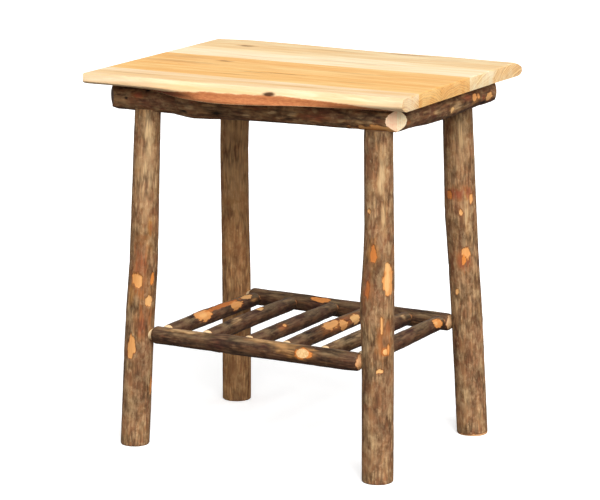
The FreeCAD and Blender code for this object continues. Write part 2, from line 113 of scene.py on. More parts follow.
def mixed(tree, factor, first, second, kind="RGBA", blend="MIX"):
    node = tree.nodes.new("ShaderNodeMix")
    node.data_type = kind
    if kind == "RGBA":
        node.blend_type = blend
        sockets = node.inputs[0], node.inputs[6], node.inputs[7]
        result = node.outputs[2]
    else:
        sockets = node.inputs[0], node.inputs[2], node.inputs[3]
        result = node.outputs[0]
    for socket, value in zip(sockets, (factor, first, second)):
        feed(tree, socket, value)
    return result


def newGroup(name, kind, inputs, outputs):
    tree = bpy.data.node_groups.new(name, kind)
    for label, socketKind, value in inputs:
        socket = tree.interface.new_socket(label, in_out="INPUT", socket_type=socketKind)
        if value is not None:
            socket.default_value = value
    for label, socketKind in outputs:
        tree.interface.new_socket(label, in_out="OUTPUT", socket_type=socketKind)
    return tree, tree.nodes.new("NodeGroupInput"), tree.nodes.new("NodeGroupOutput")


def placed(tree, group, **values):
    node = tree.nodes.new("ShaderNodeGroup" if group.bl_idname == "ShaderNodeTree" else "GeometryNodeGroup")
    node.node_tree = group
    for label, value in values.items():
        feed(tree, node.inputs[label], value)
    return node


# geometry node groups: the relief of hickory bark, and one bare or worn spot on it
def makeBarkRelief():
    tree, given, result = newGroup("barkRelief", "GeometryNodeTree", [
        ("Pole", "NodeSocketVector", None), ("Ridge Width", "NodeSocketFloat", 0.005),
        ("Ridge Length", "NodeSocketFloat", 0.045), ("Seed", "NodeSocketFloat", 0.0),
    ], [("Height", "NodeSocketFloat"), ("Crack", "NodeSocketFloat")])
    aside, up, along = split(tree, given.outputs["Pole"])
    squeezed = maths(tree, "MULTIPLY", along, maths(tree, "DIVIDE", given.outputs["Ridge Width"], given.outputs["Ridge Length"]))
    spot = joined(tree, aside, up, squeezed)
    spot = scaled(tree, spot, maths(tree, "DIVIDE", 1.0, given.outputs["Ridge Width"]))
    spot = vectorMaths(tree, "ADD", spot, joined(tree, given.outputs["Seed"], 0.0, given.outputs["Seed"]))
    sway = noise(tree, spot, 0.45, 2.0)
    spot = vectorMaths(tree, "ADD", spot, joined(tree, maths(tree, "MULTIPLY", sway, 1.1), sway, 0.0))
    plates = tree.nodes.new("ShaderNodeTexVoronoi")
    plates.feature = "DISTANCE_TO_EDGE"
    feed(tree, plates.inputs["Vector"], spot)
    plates.inputs["Scale"].default_value = 1.0
    edge = plates.outputs["Distance"]
    patchy = ramp(tree, noise(tree, given.outputs["Pole"], 26.0, 2.0), 0.38, 0.62)
    crack = maths(tree, "MULTIPLY", ramp(tree, edge, 0.03, 0.2, 1.0, 0.0), maths(tree, "ADD", 0.35, maths(tree, "MULTIPLY", patchy, 0.65)))
    grit = noise(tree, spot, 2.2, 3.0, 0.6)
    lumps = noise(tree, given.outputs["Pole"], 14.0, 1.5)
    height = maths(tree, "MULTIPLY", crack, -1.0)
    height = maths(tree, "ADD", height, maths(tree, "MULTIPLY", maths(tree, "SUBTRACT", grit, 0.5), 0.9))
    height = maths(tree, "ADD", height, maths(tree, "MULTIPLY", maths(tree, "SUBTRACT", lumps, 0.5), 2.4))
    feed(tree, result.inputs["Height"], height)
    feed(tree, result.inputs["Crack"], crack)
    return tree


def makeBarkSpot():
    tree, given, result = newGroup("barkSpot", "GeometryNodeTree", [
        ("Pole", "NodeSocketVector", None), ("Place", "NodeSocketFloat", 0.0),
        ("Facing", "NodeSocketFloat", 0.0), ("Length", "NodeSocketFloat", 0.03),
        ("Width", "NodeSocketFloat", 0.015), ("Ragged", "NodeSocketFloat", 0.5),
    ], [("Mask", "NodeSocketFloat"), ("Soft", "NodeSocketFloat"), ("Rim", "NodeSocketFloat")])
    aside, up, along = split(tree, given.outputs["Pole"])
    reach = vectorMaths(tree, "LENGTH", joined(tree, aside, up, 0.0))
    turn = maths(tree, "SUBTRACT", maths(tree, "ARCTAN2", up, aside), given.outputs["Facing"])
    turn = maths(tree, "WRAP", turn, math.pi, -math.pi)
    across = maths(tree, "DIVIDE", maths(tree, "MULTIPLY", turn, reach), maths(tree, "MULTIPLY", given.outputs["Width"], 0.5))
    far = maths(tree, "DIVIDE", maths(tree, "SUBTRACT", along, given.outputs["Place"]), maths(tree, "MULTIPLY", given.outputs["Length"], 0.5))
    # the outline wanders, and its fringe runs in splinters along the grain
    wanderAcross = maths(tree, "MULTIPLY", maths(tree, "SUBTRACT", noise(tree, given.outputs["Pole"], 62.0, 2.0), 0.5), 2.2)
    wanderAlong = maths(tree, "MULTIPLY", maths(tree, "SUBTRACT", noise(tree, scaled(tree, given.outputs["Pole"], 1.7), 41.0, 2.0), 0.5), 1.8)
    across = maths(tree, "ADD", across, maths(tree, "MULTIPLY", wanderAcross, given.outputs["Ragged"]))
    far = maths(tree, "ADD", far, maths(tree, "MULTIPLY", wanderAlong, given.outputs["Ragged"]))
    distance = vectorMaths(tree, "LENGTH", joined(tree, across, far, 0.0))
    fringe = noise(tree, joined(tree, aside, up, maths(tree, "MULTIPLY", along, 0.16)), 330.0, 3.0, 0.6)
    distance = maths(tree, "ADD", distance, maths(tree, "MULTIPLY", maths(tree, "SUBTRACT", fringe, 0.5), maths(tree, "MULTIPLY", given.outputs["Ragged"], 1.5)))
    feed(tree, result.inputs["Mask"], ramp(tree, distance, 0.82, 1.06, 1.0, 0.0))
    feed(tree, result.inputs["Soft"], ramp(tree, distance, 0.35, 1.35, 1.0, 0.0))
    rim = maths(tree, "SUBTRACT", 1.0, maths(tree, "ABSOLUTE", maths(tree, "DIVIDE", maths(tree, "SUBTRACT", distance, 1.12), 0.22)), clamp=True)
    feed(tree, result.inputs["Rim"], rim)
    return tree


barkRelief = makeBarkRelief()
barkSpot = makeBarkSpot()


# reading the poles out of the frame, so that the bark follows the solid wood
meshPoints = {}


def cutAcross(node, axis, place):
    if node not in meshPoints:
        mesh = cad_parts[node].data
        points = np.array([v.co for v in mesh.vertices])
        meshPoints[node] = points[np.array([p.vertices[:] for p in mesh.polygons])]
    corners = meshPoints[node]
    reach = corners[:, :, axis] - place
    found = []
    for a, b in ((0, 1), (1, 2), (2, 0)):
        crossing = reach[:, a] * reach[:, b] < 0
        share = reach[crossing, a] / (reach[crossing, a] - reach[crossing, b])
        found.append(corners[crossing, a] + (corners[crossing, b] - corners[crossing, a]) * share[:, None])
    return np.concatenate(found)


def roundAt(node, axis, place):
    # centre and radius of the bark at a place along a pole, leaving out flats and mortises
    across = [i for i in range(3) if i != axis]
    points = cutAcross(node, axis, place)[:, across]
    for _ in range(5):
        sides = np.column_stack([2 * points, np.ones(len(points))])
        fit = np.linalg.lstsq(sides, (points ** 2).sum(1), rcond=None)[0]
        radius = math.sqrt(fit[2] + fit[0] ** 2 + fit[1] ** 2)
        miss = np.abs(np.hypot(*(points - fit[:2]).T) - radius)
        keep = miss < max(0.00015, np.percentile(miss, 80))
        if keep.all():
            break
        points = points[keep]
    centre = [0.0, 0.0, 0.0]
    centre[axis] = place
    centre[across[0]], centre[across[1]] = fit[0], fit[1]
    return np.array(centre), radius


def poleRun(node, axis, first, last, clear=(), count=26):
    # centres and radii between two places; nothing is read near the places in clear
    places = [p for p in np.linspace(first, last, count) if all(abs(p - c) > 0.012 for c in clear)]
    read = [roundAt(node, axis, p) for p in places]
    return np.array([c for c, r in read]), np.array([r for c, r in read])


def alongLine(centres, radii, axis, place):
    # the run carried on in a straight line past its ends
    along = centres[:, axis]
    point = []
    for i in range(3):
        if place < along[0]:
            slope = (centres[1, i] - centres[0, i]) / (along[1] - along[0])
            point.append(centres[0, i] + slope * (place - along[0]))
        elif place > along[-1]:
            slope = (centres[-1, i] - centres[-2, i]) / (along[-1] - along[-2])
            point.append(centres[-1, i] + slope * (place - along[-1]))
        else:
            point.append(np.interp(place, along, centres[:, i]))
    return np.array(point), float(np.interp(place, along, radii))


# a bark-on pole, grown along its centre line by geometry nodes
acrossAxes = {0: ((0, 1, 0), (0, 0, 1)), 1: ((1, 0, 0), (0, 0, 1)), 2: ((1, 0, 0), (0, 1, 0))}
barkLook = {"facetsAround": 132, "step": 0.0019, "depth": 0.0005, "ridgeWidth": 0.0055, "ridgeLength": 0.05}


def makePoleTree(name, axis, look, spots, bareEnds):
    tree, given, result = newGroup(name, "GeometryNodeTree", [
        ("Line", "NodeSocketGeometry", None), ("Facets Around", "NodeSocketInt", 96),
        ("Step", "NodeSocketFloat", 0.002), ("Bark Depth", "NodeSocketFloat", 0.0005),
        ("Ridge Width", "NodeSocketFloat", 0.005), ("Ridge Length", "NodeSocketFloat", 0.045),
        ("Seed", "NodeSocketFloat", 0.0), ("Bark", "NodeSocketMaterial", None),
    ], [("Pole", "NodeSocketGeometry")])
    resample = tree.nodes.new("GeometryNodeResampleCurve")
    resample.mode = "LENGTH"
    feed(tree, resample.inputs["Curve"], given.outputs["Line"])
    feed(tree, resample.inputs["Length"], given.outputs["Step"])

    def keep(geometry, label, value, kind="FLOAT"):
        node = tree.nodes.new("GeometryNodeStoreNamedAttribute")
        node.data_type = kind
        node.domain = "POINT"
        node.inputs["Name"].default_value = label
        feed(tree, node.inputs["Geometry"], geometry)
        feed(tree, node.inputs["Value"], value)
        return node.outputs["Geometry"]

    def stored(label, kind="FLOAT"):
        node = tree.nodes.new("GeometryNodeInputNamedAttribute")
        node.data_type = kind
        node.inputs["Name"].default_value = label
        return node.outputs["Attribute"]

    position = tree.nodes.new("GeometryNodeInputPosition").outputs[0]
    radius = tree.nodes.new("GeometryNodeInputRadius").outputs[0]
    line = keep(resample.outputs["Curve"], "lineCo", position, "FLOAT_VECTOR")
    line = keep(line, "girth", radius)
    ring = tree.nodes.new("GeometryNodeCurvePrimitiveCircle")
    ring.mode = "RADIUS"
    ring.inputs["Radius"].default_value = 1.0
    feed(tree, ring.inputs["Resolution"], given.outputs["Facets Around"])
    skin = tree.nodes.new("GeometryNodeCurveToMesh")
    feed(tree, skin.inputs["Curve"], line)
    feed(tree, skin.inputs["Profile Curve"], ring.outputs["Curve"])
    feed(tree, skin.inputs["Scale"], stored("girth"))
    skin.inputs["Fill Caps"].default_value = True

    # the pole's own coordinates: two across, one along
    toSkin = vectorMaths(tree, "SUBTRACT", position, stored("lineCo", "FLOAT_VECTOR"))
    firstWay, secondWay = acrossAxes[axis]
    alongWay = split(tree, stored("lineCo", "FLOAT_VECTOR"))[axis]
    pole = joined(tree, vectorMaths(tree, "DOT_PRODUCT", toSkin, firstWay), vectorMaths(tree, "DOT_PRODUCT", toSkin, secondWay), alongWay)
    skinned = keep(skin.outputs["Mesh"], "poleCo", pole, "FLOAT_VECTOR")
    poleCo = stored("poleCo", "FLOAT_VECTOR")
    relief = placed(tree, barkRelief, **{
        "Pole": poleCo, "Ridge Width": given.outputs["Ridge Width"],
        "Ridge Length": given.outputs["Ridge Length"], "Seed": given.outputs["Seed"],
    })
    peel, tint, sunk, lip, knot, stainAndLitPatch, pit, shaved = 0.0, 0.5, 0.0, 0.0, 0.0, 0.0, 0.0, 0.0
    overStains = sorted(spots, key=lambda spot: not 0 <= spot[5] < 0.45)  # what is peeled lies over what is stained
    for place, facing, length, width, hue, depth in overStains:
        spot = placed(tree, barkSpot, **{
            "Pole": poleCo, "Place": place, "Facing": math.radians(facing),
            "Length": length / 1000, "Width": width / 1000, "Ragged": 0.6 if depth >= 0 else 0.15,
        })
        if hue > 1.5:  # a dark pit
            pit = maths(tree, "MAXIMUM", pit, maths(tree, "MULTIPLY", spot.outputs["Soft"], 0.9))
            sunk = mixed(tree, spot.outputs["Mask"], sunk, depth / 1000, "FLOAT")
            continue
        if 0 <= depth < 0.45:  # worn and stained bark, not peeled; a few of these soft spots are painted light that brightens parts in shade
            soft = spot.outputs["Soft"]
            stainAndLitPatch = maths(tree, "MAXIMUM", stainAndLitPatch, maths(tree, "MULTIPLY", soft, min(1.0, depth / 0.3)))
            tint = mixed(tree, soft, tint, hue, "FLOAT")
            continue
        mask = spot.outputs["Mask"]
        peel = maths(tree, "MAXIMUM", peel, mask)
        tint = mixed(tree, mask, tint, hue, "FLOAT")
        sunk = mixed(tree, mask, sunk, depth / 1000, "FLOAT")
        if depth >= 0:
            lip = maths(tree, "MAXIMUM", lip, spot.outputs["Rim"])
        else:
            knot = maths(tree, "MAXIMUM", knot, spot.outputs["Rim"])
    for place, reach, paleness in bareEnds:
        waver = maths(tree, "MULTIPLY", maths(tree, "SUBTRACT", noise(tree, poleCo, 120.0, 2.0), 0.5), 0.006)
        gap = maths(tree, "ADD", maths(tree, "ABSOLUTE", maths(tree, "SUBTRACT", alongWay, place)), waver)
        mask = ramp(tree, gap, reach - 0.0008, reach + 0.0008, 1.0, 0.0)
        peel = maths(tree, "MAXIMUM", peel, mask)
        shaved = maths(tree, "MAXIMUM", shaved, maths(tree, "MULTIPLY", mask, paleness))
        sunk = mixed(tree, mask, sunk, 0.0002, "FLOAT")
    skinned = keep(skinned, "peel", peel)
    skinned = keep(skinned, "tint", tint)
    skinned = keep(skinned, "knot", knot)
    skinned = keep(skinned, "stainAndLitPatch", stainAndLitPatch)
    skinned = keep(skinned, "pit", pit)
    skinned = keep(skinned, "shaved", shaved)
    skinned = keep(skinned, "crack", relief.outputs["Crack"])
    out = maths(tree, "MULTIPLY", relief.outputs["Height"], given.outputs["Bark Depth"])
    out = mixed(tree, maths(tree, "MULTIPLY", stored("peel"), 0.85), out, 0.0, "FLOAT")
    out = maths(tree, "SUBTRACT", out, sunk)
    out = maths(tree, "ADD", out, maths(tree, "MULTIPLY", maths(tree, "MULTIPLY", lip, maths(tree, "SUBTRACT", 1.0, stored("peel"))), 0.0005))
    move = tree.nodes.new("GeometryNodeSetPosition")
    feed(tree, move.inputs["Geometry"], skinned)
    feed(tree, move.inputs["Offset"], scaled(tree, vectorMaths(tree, "NORMALIZE", toSkin), out))
    solid = tree.nodes.new("GeometryNodeRealizeInstances")
    feed(tree, solid.inputs["Geometry"], move.outputs["Geometry"])
    dress = tree.nodes.new("GeometryNodeSetMaterial")
    feed(tree, dress.inputs["Geometry"], solid.outputs["Geometry"])
    feed(tree, dress.inputs["Material"], given.outputs["Bark"])
    feed(tree, result.inputs["Pole"], dress.outputs["Geometry"])
    return tree


def growPole(name, axis, centres, radii, material, spots=(), bareEnds=(), seed=0.0, **look):
    settings = dict(barkLook)
    settings.update(look)
    curve = bpy.data.curves.new(name + "Line", "CURVE")
    curve.dimensions = "3D"
    spline = curve.splines.new("POLY")
    spline.points.add(len(centres) - 1)
    for point, centre, radius in zip(spline.points, centres, radii):
        point.co = (*centre, 1.0)
        point.radius = radius
    shell = bpy.data.objects.new(name + "Line", curve)
    bpy.context.scene.collection.objects.link(shell)
    tree = makePoleTree(name + "Tree", axis, settings, spots, bareEnds)
    grow = shell.modifiers.new("bark", "NODES")
    grow.node_group = tree
    values = {
        "Facets Around": settings["facetsAround"], "Step": settings["step"], "Bark Depth": settings["depth"],
        "Ridge Width": settings["ridgeWidth"], "Ridge Length": settings["ridgeLength"], "Seed": seed, "Bark": material,
    }
    for item in tree.interface.items_tree:
        if item.in_out == "INPUT" and item.name in values:
            grow[item.identifier] = values[item.name]
    evaluated = shell.evaluated_get(bpy.context.evaluated_depsgraph_get())
    mesh = bpy.data.meshes.new_from_object(evaluated, preserve_all_data_layers=True)
    mesh.name = name
    bpy.data.objects.remove(shell)
    piece = bpy.data.objects.new(name, mesh)
    bpy.context.scene.collection.objects.link(piece)
    return piece


def sawnOff(mesh, planes, material):
    # cuts the mesh by planes, keeps what is behind each, and closes the cuts with sawn wood
    if material.name not in [m.name for m in mesh.materials if m]:
        mesh.materials.append(material)
    slot = [m.name for m in mesh.materials].index(material.name)
    work = bmesh.new()
    work.from_mesh(mesh)
    for point, normal in planes:
        cut = bmesh.ops.bisect_plane(
            work, geom=work.verts[:] + work.edges[:] + work.faces[:], dist=1e-6,
            plane_co=point, plane_no=normal, clear_outer=True,
        )
        edges = [e for e in cut["geom_cut"] if isinstance(e, bmesh.types.BMEdge)]
        if edges:
            made = bmesh.ops.contextual_create(work, geom=edges)["faces"]
            for face in made:
                face.material_index = slot
    bmesh.ops.recalc_face_normals(work, faces=work.faces[:])
    work.to_mesh(mesh)
    work.free()


def finishPiece(piece, nodes, angle=38):
    mesh = piece.data
    mesh.polygons.foreach_set("use_smooth", [True] * len(mesh.polygons))
    mesh.set_sharp_from_angle(angle=math.radians(angle))
    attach(piece, "root")
    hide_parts(*nodes)


# shader groups
def makeFibre():
    tree, given, result = newGroup("woodFibre", "ShaderNodeTree", [
        ("Grain Co", "NodeSocketVector", None), ("Ring Width", "NodeSocketFloat", 0.004),
        ("Stretch", "NodeSocketFloat", 14.0), ("Wander", "NodeSocketFloat", 1.0), ("Seed", "NodeSocketFloat", 0.0),
    ], [("Rings", "NodeSocketFloat"), ("Streaks", "NodeSocketFloat"), ("Pores", "NodeSocketFloat"), ("Blotch", "NodeSocketFloat")])
    along, across, through = split(tree, given.outputs["Grain Co"])
    flat = joined(tree, maths(tree, "DIVIDE", along, given.outputs["Stretch"]), across, through)
    moved = vectorMaths(tree, "ADD", flat, joined(tree, given.outputs["Seed"], given.outputs["Seed"], 0.0))
    sway = noise(tree, moved, 11.0, 3.0, 0.55)
    swayed = vectorMaths(tree, "ADD", moved, joined(tree, 0.0, maths(tree, "MULTIPLY", maths(tree, "MULTIPLY", maths(tree, "SUBTRACT", sway, 0.5), 0.09), given.outputs["Wander"]), 0.0))
    rings = noise(tree, swayed, maths(tree, "DIVIDE", 0.9, given.outputs["Ring Width"]), 1.5, 0.55)
    feed(tree, result.inputs["Rings"], ramp(tree, rings, 0.36, 0.64))
    feed(tree, result.inputs["Streaks"], ramp(tree, noise(tree, swayed, 46.0, 4.0, 0.62), 0.33, 0.68))
    pore = noise(tree, joined(tree, maths(tree, "MULTIPLY", along, 0.06), across, through), 1500.0, 1.0)
    feed(tree, result.inputs["Pores"], ramp(tree, pore, 0.58, 0.7))
    feed(tree, result.inputs["Blotch"], noise(tree, moved, 16.0, 3.0, 0.6))
    return tree


def makeBarkPattern():
    tree, given, result = newGroup("barkPattern", "ShaderNodeTree", [
        ("Pole Co", "NodeSocketVector", None), ("Streak Width", "NodeSocketFloat", 0.004),
        ("Stretch", "NodeSocketFloat", 7.0), ("Seed", "NodeSocketFloat", 0.0),
    ], [("Streaks", "NodeSocketFloat"), ("Flecks", "NodeSocketFloat"), ("Blotch", "NodeSocketFloat"), ("Lichen", "NodeSocketFloat"),
        ("Mottle", "NodeSocketFloat"), ("Shade", "NodeSocketFloat"), ("Grit", "NodeSocketFloat")])
    aside, up, along = split(tree, given.outputs["Pole Co"])
    flat = joined(tree, aside, up, maths(tree, "DIVIDE", along, given.outputs["Stretch"]))
    flat = vectorMaths(tree, "ADD", flat, joined(tree, given.outputs["Seed"], 0.0, given.outputs["Seed"]))
    fine = maths(tree, "DIVIDE", 0.8, given.outputs["Streak Width"])
    streaks = noise(tree, flat, fine, 4.0, 0.62, 0.3)
    feed(tree, result.inputs["Streaks"], ramp(tree, streaks, 0.34, 0.66))
    flecks = noise(tree, joined(tree, aside, up, maths(tree, "MULTIPLY", along, 0.42)), 210.0, 3.0, 0.6)
    feed(tree, result.inputs["Flecks"], ramp(tree, flecks, 0.6, 0.72))
    apart = vectorMaths(tree, "ADD", given.outputs["Pole Co"], joined(tree, given.outputs["Seed"], given.outputs["Seed"], 0.0))
    feed(tree, result.inputs["Blotch"], ramp(tree, noise(tree, apart, 30.0, 3.0, 0.6), 0.35, 0.66))
    feed(tree, result.inputs["Lichen"], ramp(tree, noise(tree, apart, 52.0, 4.0, 0.65), 0.5, 0.66))
    rough = joined(tree, aside, up, maths(tree, "MULTIPLY", along, 0.55))
    rough = vectorMaths(tree, "ADD", rough, joined(tree, 0.0, given.outputs["Seed"], given.outputs["Seed"]))
    feed(tree, result.inputs["Mottle"], ramp(tree, noise(tree, rough, 96.0, 4.0, 0.6, 0.6), 0.38, 0.7))
    feed(tree, result.inputs["Shade"], ramp(tree, noise(tree, scaled(tree, rough, 1.9), 62.0, 4.0, 0.65), 0.44, 0.72))
    feed(tree, result.inputs["Grit"], noise(tree, flat, 900.0, 2.0, 0.6))
    return tree


woodFibre = makeFibre()
barkPattern = makeBarkPattern()


def rgb(red, green, blue):
    # a colour as it is picked from the screen, turned to the linear value that the shader wants
    linear = [((c / 255 + 0.055) / 1.055) ** 2.4 if c > 10 else c / 255 / 12.92 for c in (red, green, blue)]
    return (*linear, 1.0)


def newMaterial(name):
    material = bpy.data.materials.new(name)
    material.use_nodes = True
    tree = material.node_tree
    return material, tree, tree.nodes["Principled BSDF"]


def attribute(tree, label, vector=False):
    node = tree.nodes.new("ShaderNodeAttribute")
    node.attribute_name = label
    return node.outputs["Vector"] if vector else node.outputs["Fac"]


def bumped(tree, shader, height, strength, distance):
    bump = tree.nodes.new("ShaderNodeBump")
    bump.inputs["Strength"].default_value = strength
    bump.inputs["Distance"].default_value = distance
    feed(tree, bump.inputs["Height"], height)
    feed(tree, shader.inputs["Normal"], bump.outputs["Normal"])


# materials: the bark of the poles
barkFinishes = {
    "legBark": {"dark": (94, 63, 39), "mid": (166, 125, 83), "light": (210, 174, 128), "red": (168, 104, 70), "pit": (40, 26, 16), "streak": 0.0080, "seed": 1.0, "rough": 0.66, "mottle": 0.5},
    # painted light: a lighter copy of the leg bark for the back left leg, which stands in the top's shade
    "backLegBark": {"dark": (122, 80, 46), "mid": (190, 140, 92), "light": (220, 174, 118), "red": (166, 106, 64), "pit": (40, 26, 16), "streak": 0.009, "seed": 4.0, "rough": 0.7, "mottle": 0.35},
    "railBark": {"dark": (70, 43, 26), "mid": (148, 102, 64), "light": (196, 162, 116), "red": (124, 66, 50), "pit": (22, 14, 9), "streak": 0.007, "seed": 7.0, "rough": 0.7, "mottle": 0.35},
    "shelfBark": {"dark": (44, 28, 20), "mid": (102, 69, 43), "light": (152, 122, 88), "red": (100, 54, 42), "pit": (26, 17, 12), "streak": 0.0075, "seed": 11.0, "rough": 0.62, "mottle": 0.22, "litTopside": (142, 118, 86)},
}
bareWoodColours = {"cream": (242, 194, 128), "orange": (224, 138, 64), "red": (156, 82, 46), "edge": (128, 74, 38)}
# colours of worn and stained bark, also used as painted light on shaded parts of the legs and a rail
wornAndLitColours = {"tan": (218, 182, 134), "ochre": (178, 120, 58), "red": (162, 84, 54)}
shavedColours = {"pale": (252, 226, 180), "fibre": (222, 178, 124)}


def makeBark(name):
    look = barkFinishes[name]
    material, tree, shader = newMaterial(name)
    poleCo = attribute(tree, "poleCo", vector=True)
    pattern = placed(tree, barkPattern, **{"Pole Co": poleCo, "Streak Width": look["streak"], "Seed": look["seed"]})
    mid = rgb(*look["mid"])
    if "litTopside" in look:  # painted light: the upper side of a lying pole is made greyer and lighter where light falls on it from above
        facing = maths(tree, "DIVIDE", split(tree, poleCo)[1], attribute(tree, "girth"))
        mid = mixed(tree, ramp(tree, facing, 0.2, 0.8), mid, rgb(*look["litTopside"]))
    colour = mixed(tree, pattern.outputs["Streaks"], rgb(*look["dark"]), mid)
    colour = mixed(tree, maths(tree, "MULTIPLY", pattern.outputs["Blotch"], 0.45), colour, rgb(*look["red"]))
    lightMask = maths(tree, "MULTIPLY", pattern.outputs["Lichen"], ramp(tree, pattern.outputs["Streaks"], 0.0, 1.0, 0.3, 1.0))
    colour = mixed(tree, maths(tree, "MULTIPLY", lightMask, look["mottle"] * 1.4), colour, rgb(*look["light"]))
    colour = mixed(tree, maths(tree, "MULTIPLY", pattern.outputs["Mottle"], look["mottle"]), colour, rgb(*look["light"]))
    colour = mixed(tree, maths(tree, "MULTIPLY", pattern.outputs["Shade"], look["mottle"] * 1.2), colour, rgb(*look["dark"]))
    colour = mixed(tree, maths(tree, "MULTIPLY", pattern.outputs["Flecks"], look["mottle"]), colour, rgb(*look["light"]))
    # worn and stained places keep their streaks; the same mix paints light onto the spots that brighten parts in shade
    tint = attribute(tree, "tint")
    wornAndLit = mixed(tree, ramp(tree, tint, 0.0, 0.5, soft=False), rgb(*wornAndLitColours["tan"]), rgb(*wornAndLitColours["ochre"]))
    wornAndLit = mixed(tree, ramp(tree, tint, 0.5, 1.0, soft=False), wornAndLit, rgb(*wornAndLitColours["red"]))
    wornAndLitMask = maths(tree, "MULTIPLY", attribute(tree, "stainAndLitPatch"), ramp(tree, pattern.outputs["Streaks"], 0.0, 0.7, 0.35, 1.0))
    colour = mixed(tree, maths(tree, "MULTIPLY", wornAndLitMask, 0.88), colour, wornAndLit)
    # painted shade: the bark goes darker along the cracks of its relief
    crack = attribute(tree, "crack")
    colour = mixed(tree, maths(tree, "MULTIPLY", crack, 0.55), colour, rgb(*[c * 0.45 for c in look["dark"]]))
    # bare wood in the peeled spots, its inner bark at the edge of each
    peel = attribute(tree, "peel")
    fibre = placed(tree, woodFibre, **{"Grain Co": swapAlong(tree, poleCo), "Ring Width": 0.003, "Seed": look["seed"]})
    bare = mixed(tree, ramp(tree, tint, 0.0, 0.5, soft=False), rgb(*bareWoodColours["cream"]), rgb(*bareWoodColours["orange"]))
    bare = mixed(tree, ramp(tree, tint, 0.5, 1.0, soft=False), bare, rgb(*bareWoodColours["red"]))
    bare = mixed(tree, maths(tree, "MULTIPLY", fibre.outputs["Streaks"], 0.35), bare, rgb(*bareWoodColours["orange"]))
    bare = mixed(tree, maths(tree, "MULTIPLY", maths(tree, "MULTIPLY", fibre.outputs["Rings"], fibre.outputs["Blotch"]), 0.22), bare, rgb(*bareWoodColours["red"]))
    pale = mixed(tree, maths(tree, "MULTIPLY", fibre.outputs["Streaks"], 0.6), rgb(*shavedColours["pale"]), rgb(*shavedColours["fibre"]))
    bare = mixed(tree, attribute(tree, "shaved"), bare, pale)
    shreds = maths(tree, "SUBTRACT", noise(tree, swapAlong(tree, scaledAlong(tree, poleCo, 0.12)), 620.0, 3.0, 0.6), 0.5)
    torn = maths(tree, "ADD", peel, maths(tree, "MULTIPLY", shreds, 0.9))
    edge = maths(tree, "MULTIPLY", ramp(tree, torn, 0.05, 0.4), ramp(tree, torn, 0.5, 0.95, 1.0, 0.0))
    colour = mixed(tree, ramp(tree, torn, 0.34, 0.66), colour, bare)
    colour = mixed(tree, maths(tree, "MULTIPLY", edge, 0.7), colour, rgb(*bareWoodColours["edge"]))
    colour = mixed(tree, attribute(tree, "pit"), colour, rgb(*look["pit"]))
    colour = mixed(tree, maths(tree, "MULTIPLY", attribute(tree, "knot"), 0.9), colour, rgb(206, 112, 44))
    feed(tree, shader.inputs["Base Color"], colour)
    rough = mixed(tree, peel, look["rough"], 0.55, "FLOAT")
    feed(tree, shader.inputs["Roughness"], maths(tree, "ADD", rough, maths(tree, "MULTIPLY", maths(tree, "SUBTRACT", pattern.outputs["Grit"], 0.5), 0.12)))
    shader.inputs["Specular IOR Level"].default_value = 0.2
    height = maths(tree, "ADD", maths(tree, "MULTIPLY", pattern.outputs["Streaks"], 0.5), maths(tree, "MULTIPLY", pattern.outputs["Grit"], 0.5))
    height = maths(tree, "ADD", height, maths(tree, "MULTIPLY", pattern.outputs["Mottle"], 0.4))
    height = maths(tree, "ADD", height, maths(tree, "MULTIPLY", pattern.outputs["Flecks"], 0.3))
    height = mixed(tree, peel, height, maths(tree, "MULTIPLY", fibre.outputs["Pores"], 0.2), "FLOAT")
    bumped(tree, shader, height, 0.7, 0.0006)
    return material


def scaledAlong(tree, poleCo, factor):
    aside, up, along = split(tree, poleCo)
    return joined(tree, aside, up, maths(tree, "MULTIPLY", along, factor))


def swapAlong(tree, poleCo):
    # the fibre group runs along its first coordinate, the pole along its third
    aside, up, along = split(tree, poleCo)
    return joined(tree, along, aside, up)


barks = {name: makeBark(name) for name in barkFinishes}


# sawn ends and corners: rings of growth round the pole's heart
def makeSawnEnd(name, heart, sap, seed):
    material, tree, shader = newMaterial(name)
    poleCo = attribute(tree, "poleCo", vector=True)
    place = tree.nodes.new("ShaderNodeTexCoord").outputs["Object"]
    warped = noise(tree, place, 60.0, 2.0)
    rings = noise(tree, joined(tree, 0.0, 0.0, maths(tree, "ADD", vectorMaths(tree, "LENGTH", poleCo), maths(tree, "MULTIPLY", warped, 0.003))), 700.0, 1.0)
    fine = noise(tree, place, 260.0, 4.0, 0.65)
    colour = mixed(tree, ramp(tree, fine, 0.3, 0.7), rgb(*sap), rgb(*heart))
    colour = mixed(tree, maths(tree, "MULTIPLY", ramp(tree, rings, 0.5, 0.65), 0.3), colour, rgb(*[c * 0.8 for c in heart]))
    feed(tree, shader.inputs["Base Color"], colour)
    feed(tree, shader.inputs["Roughness"], ramp(tree, fine, 0.2, 0.8, 0.5, 0.7))
    shader.inputs["Specular IOR Level"].default_value = 0.4
    bumped(tree, shader, maths(tree, "ADD", fine, rings), 0.35, 0.0004)
    return material


sawnEnds = {
    "sawnEnd": {"heart": (242, 202, 150), "sap": (255, 234, 192)},
    "sawnCornerPink": {"heart": (254, 200, 158), "sap": (255, 220, 182)},
    "sawnCornerCream": {"heart": (252, 218, 168), "sap": (255, 238, 202)},
    # painted shade: dark sawn wood for the front left corner facet
    "sawnWeathered": {"heart": (84, 56, 40), "sap": (112, 80, 58)},
    "sawnBranch": {"heart": (216, 164, 102), "sap": (246, 210, 152)},
}
sawn = {name: makeSawnEnd(name, look["heart"], look["sap"], 3.0) for name, look in sawnEnds.items()}
sawnEnd = sawn["sawnEnd"]
print("bark and sawn wood mixed")


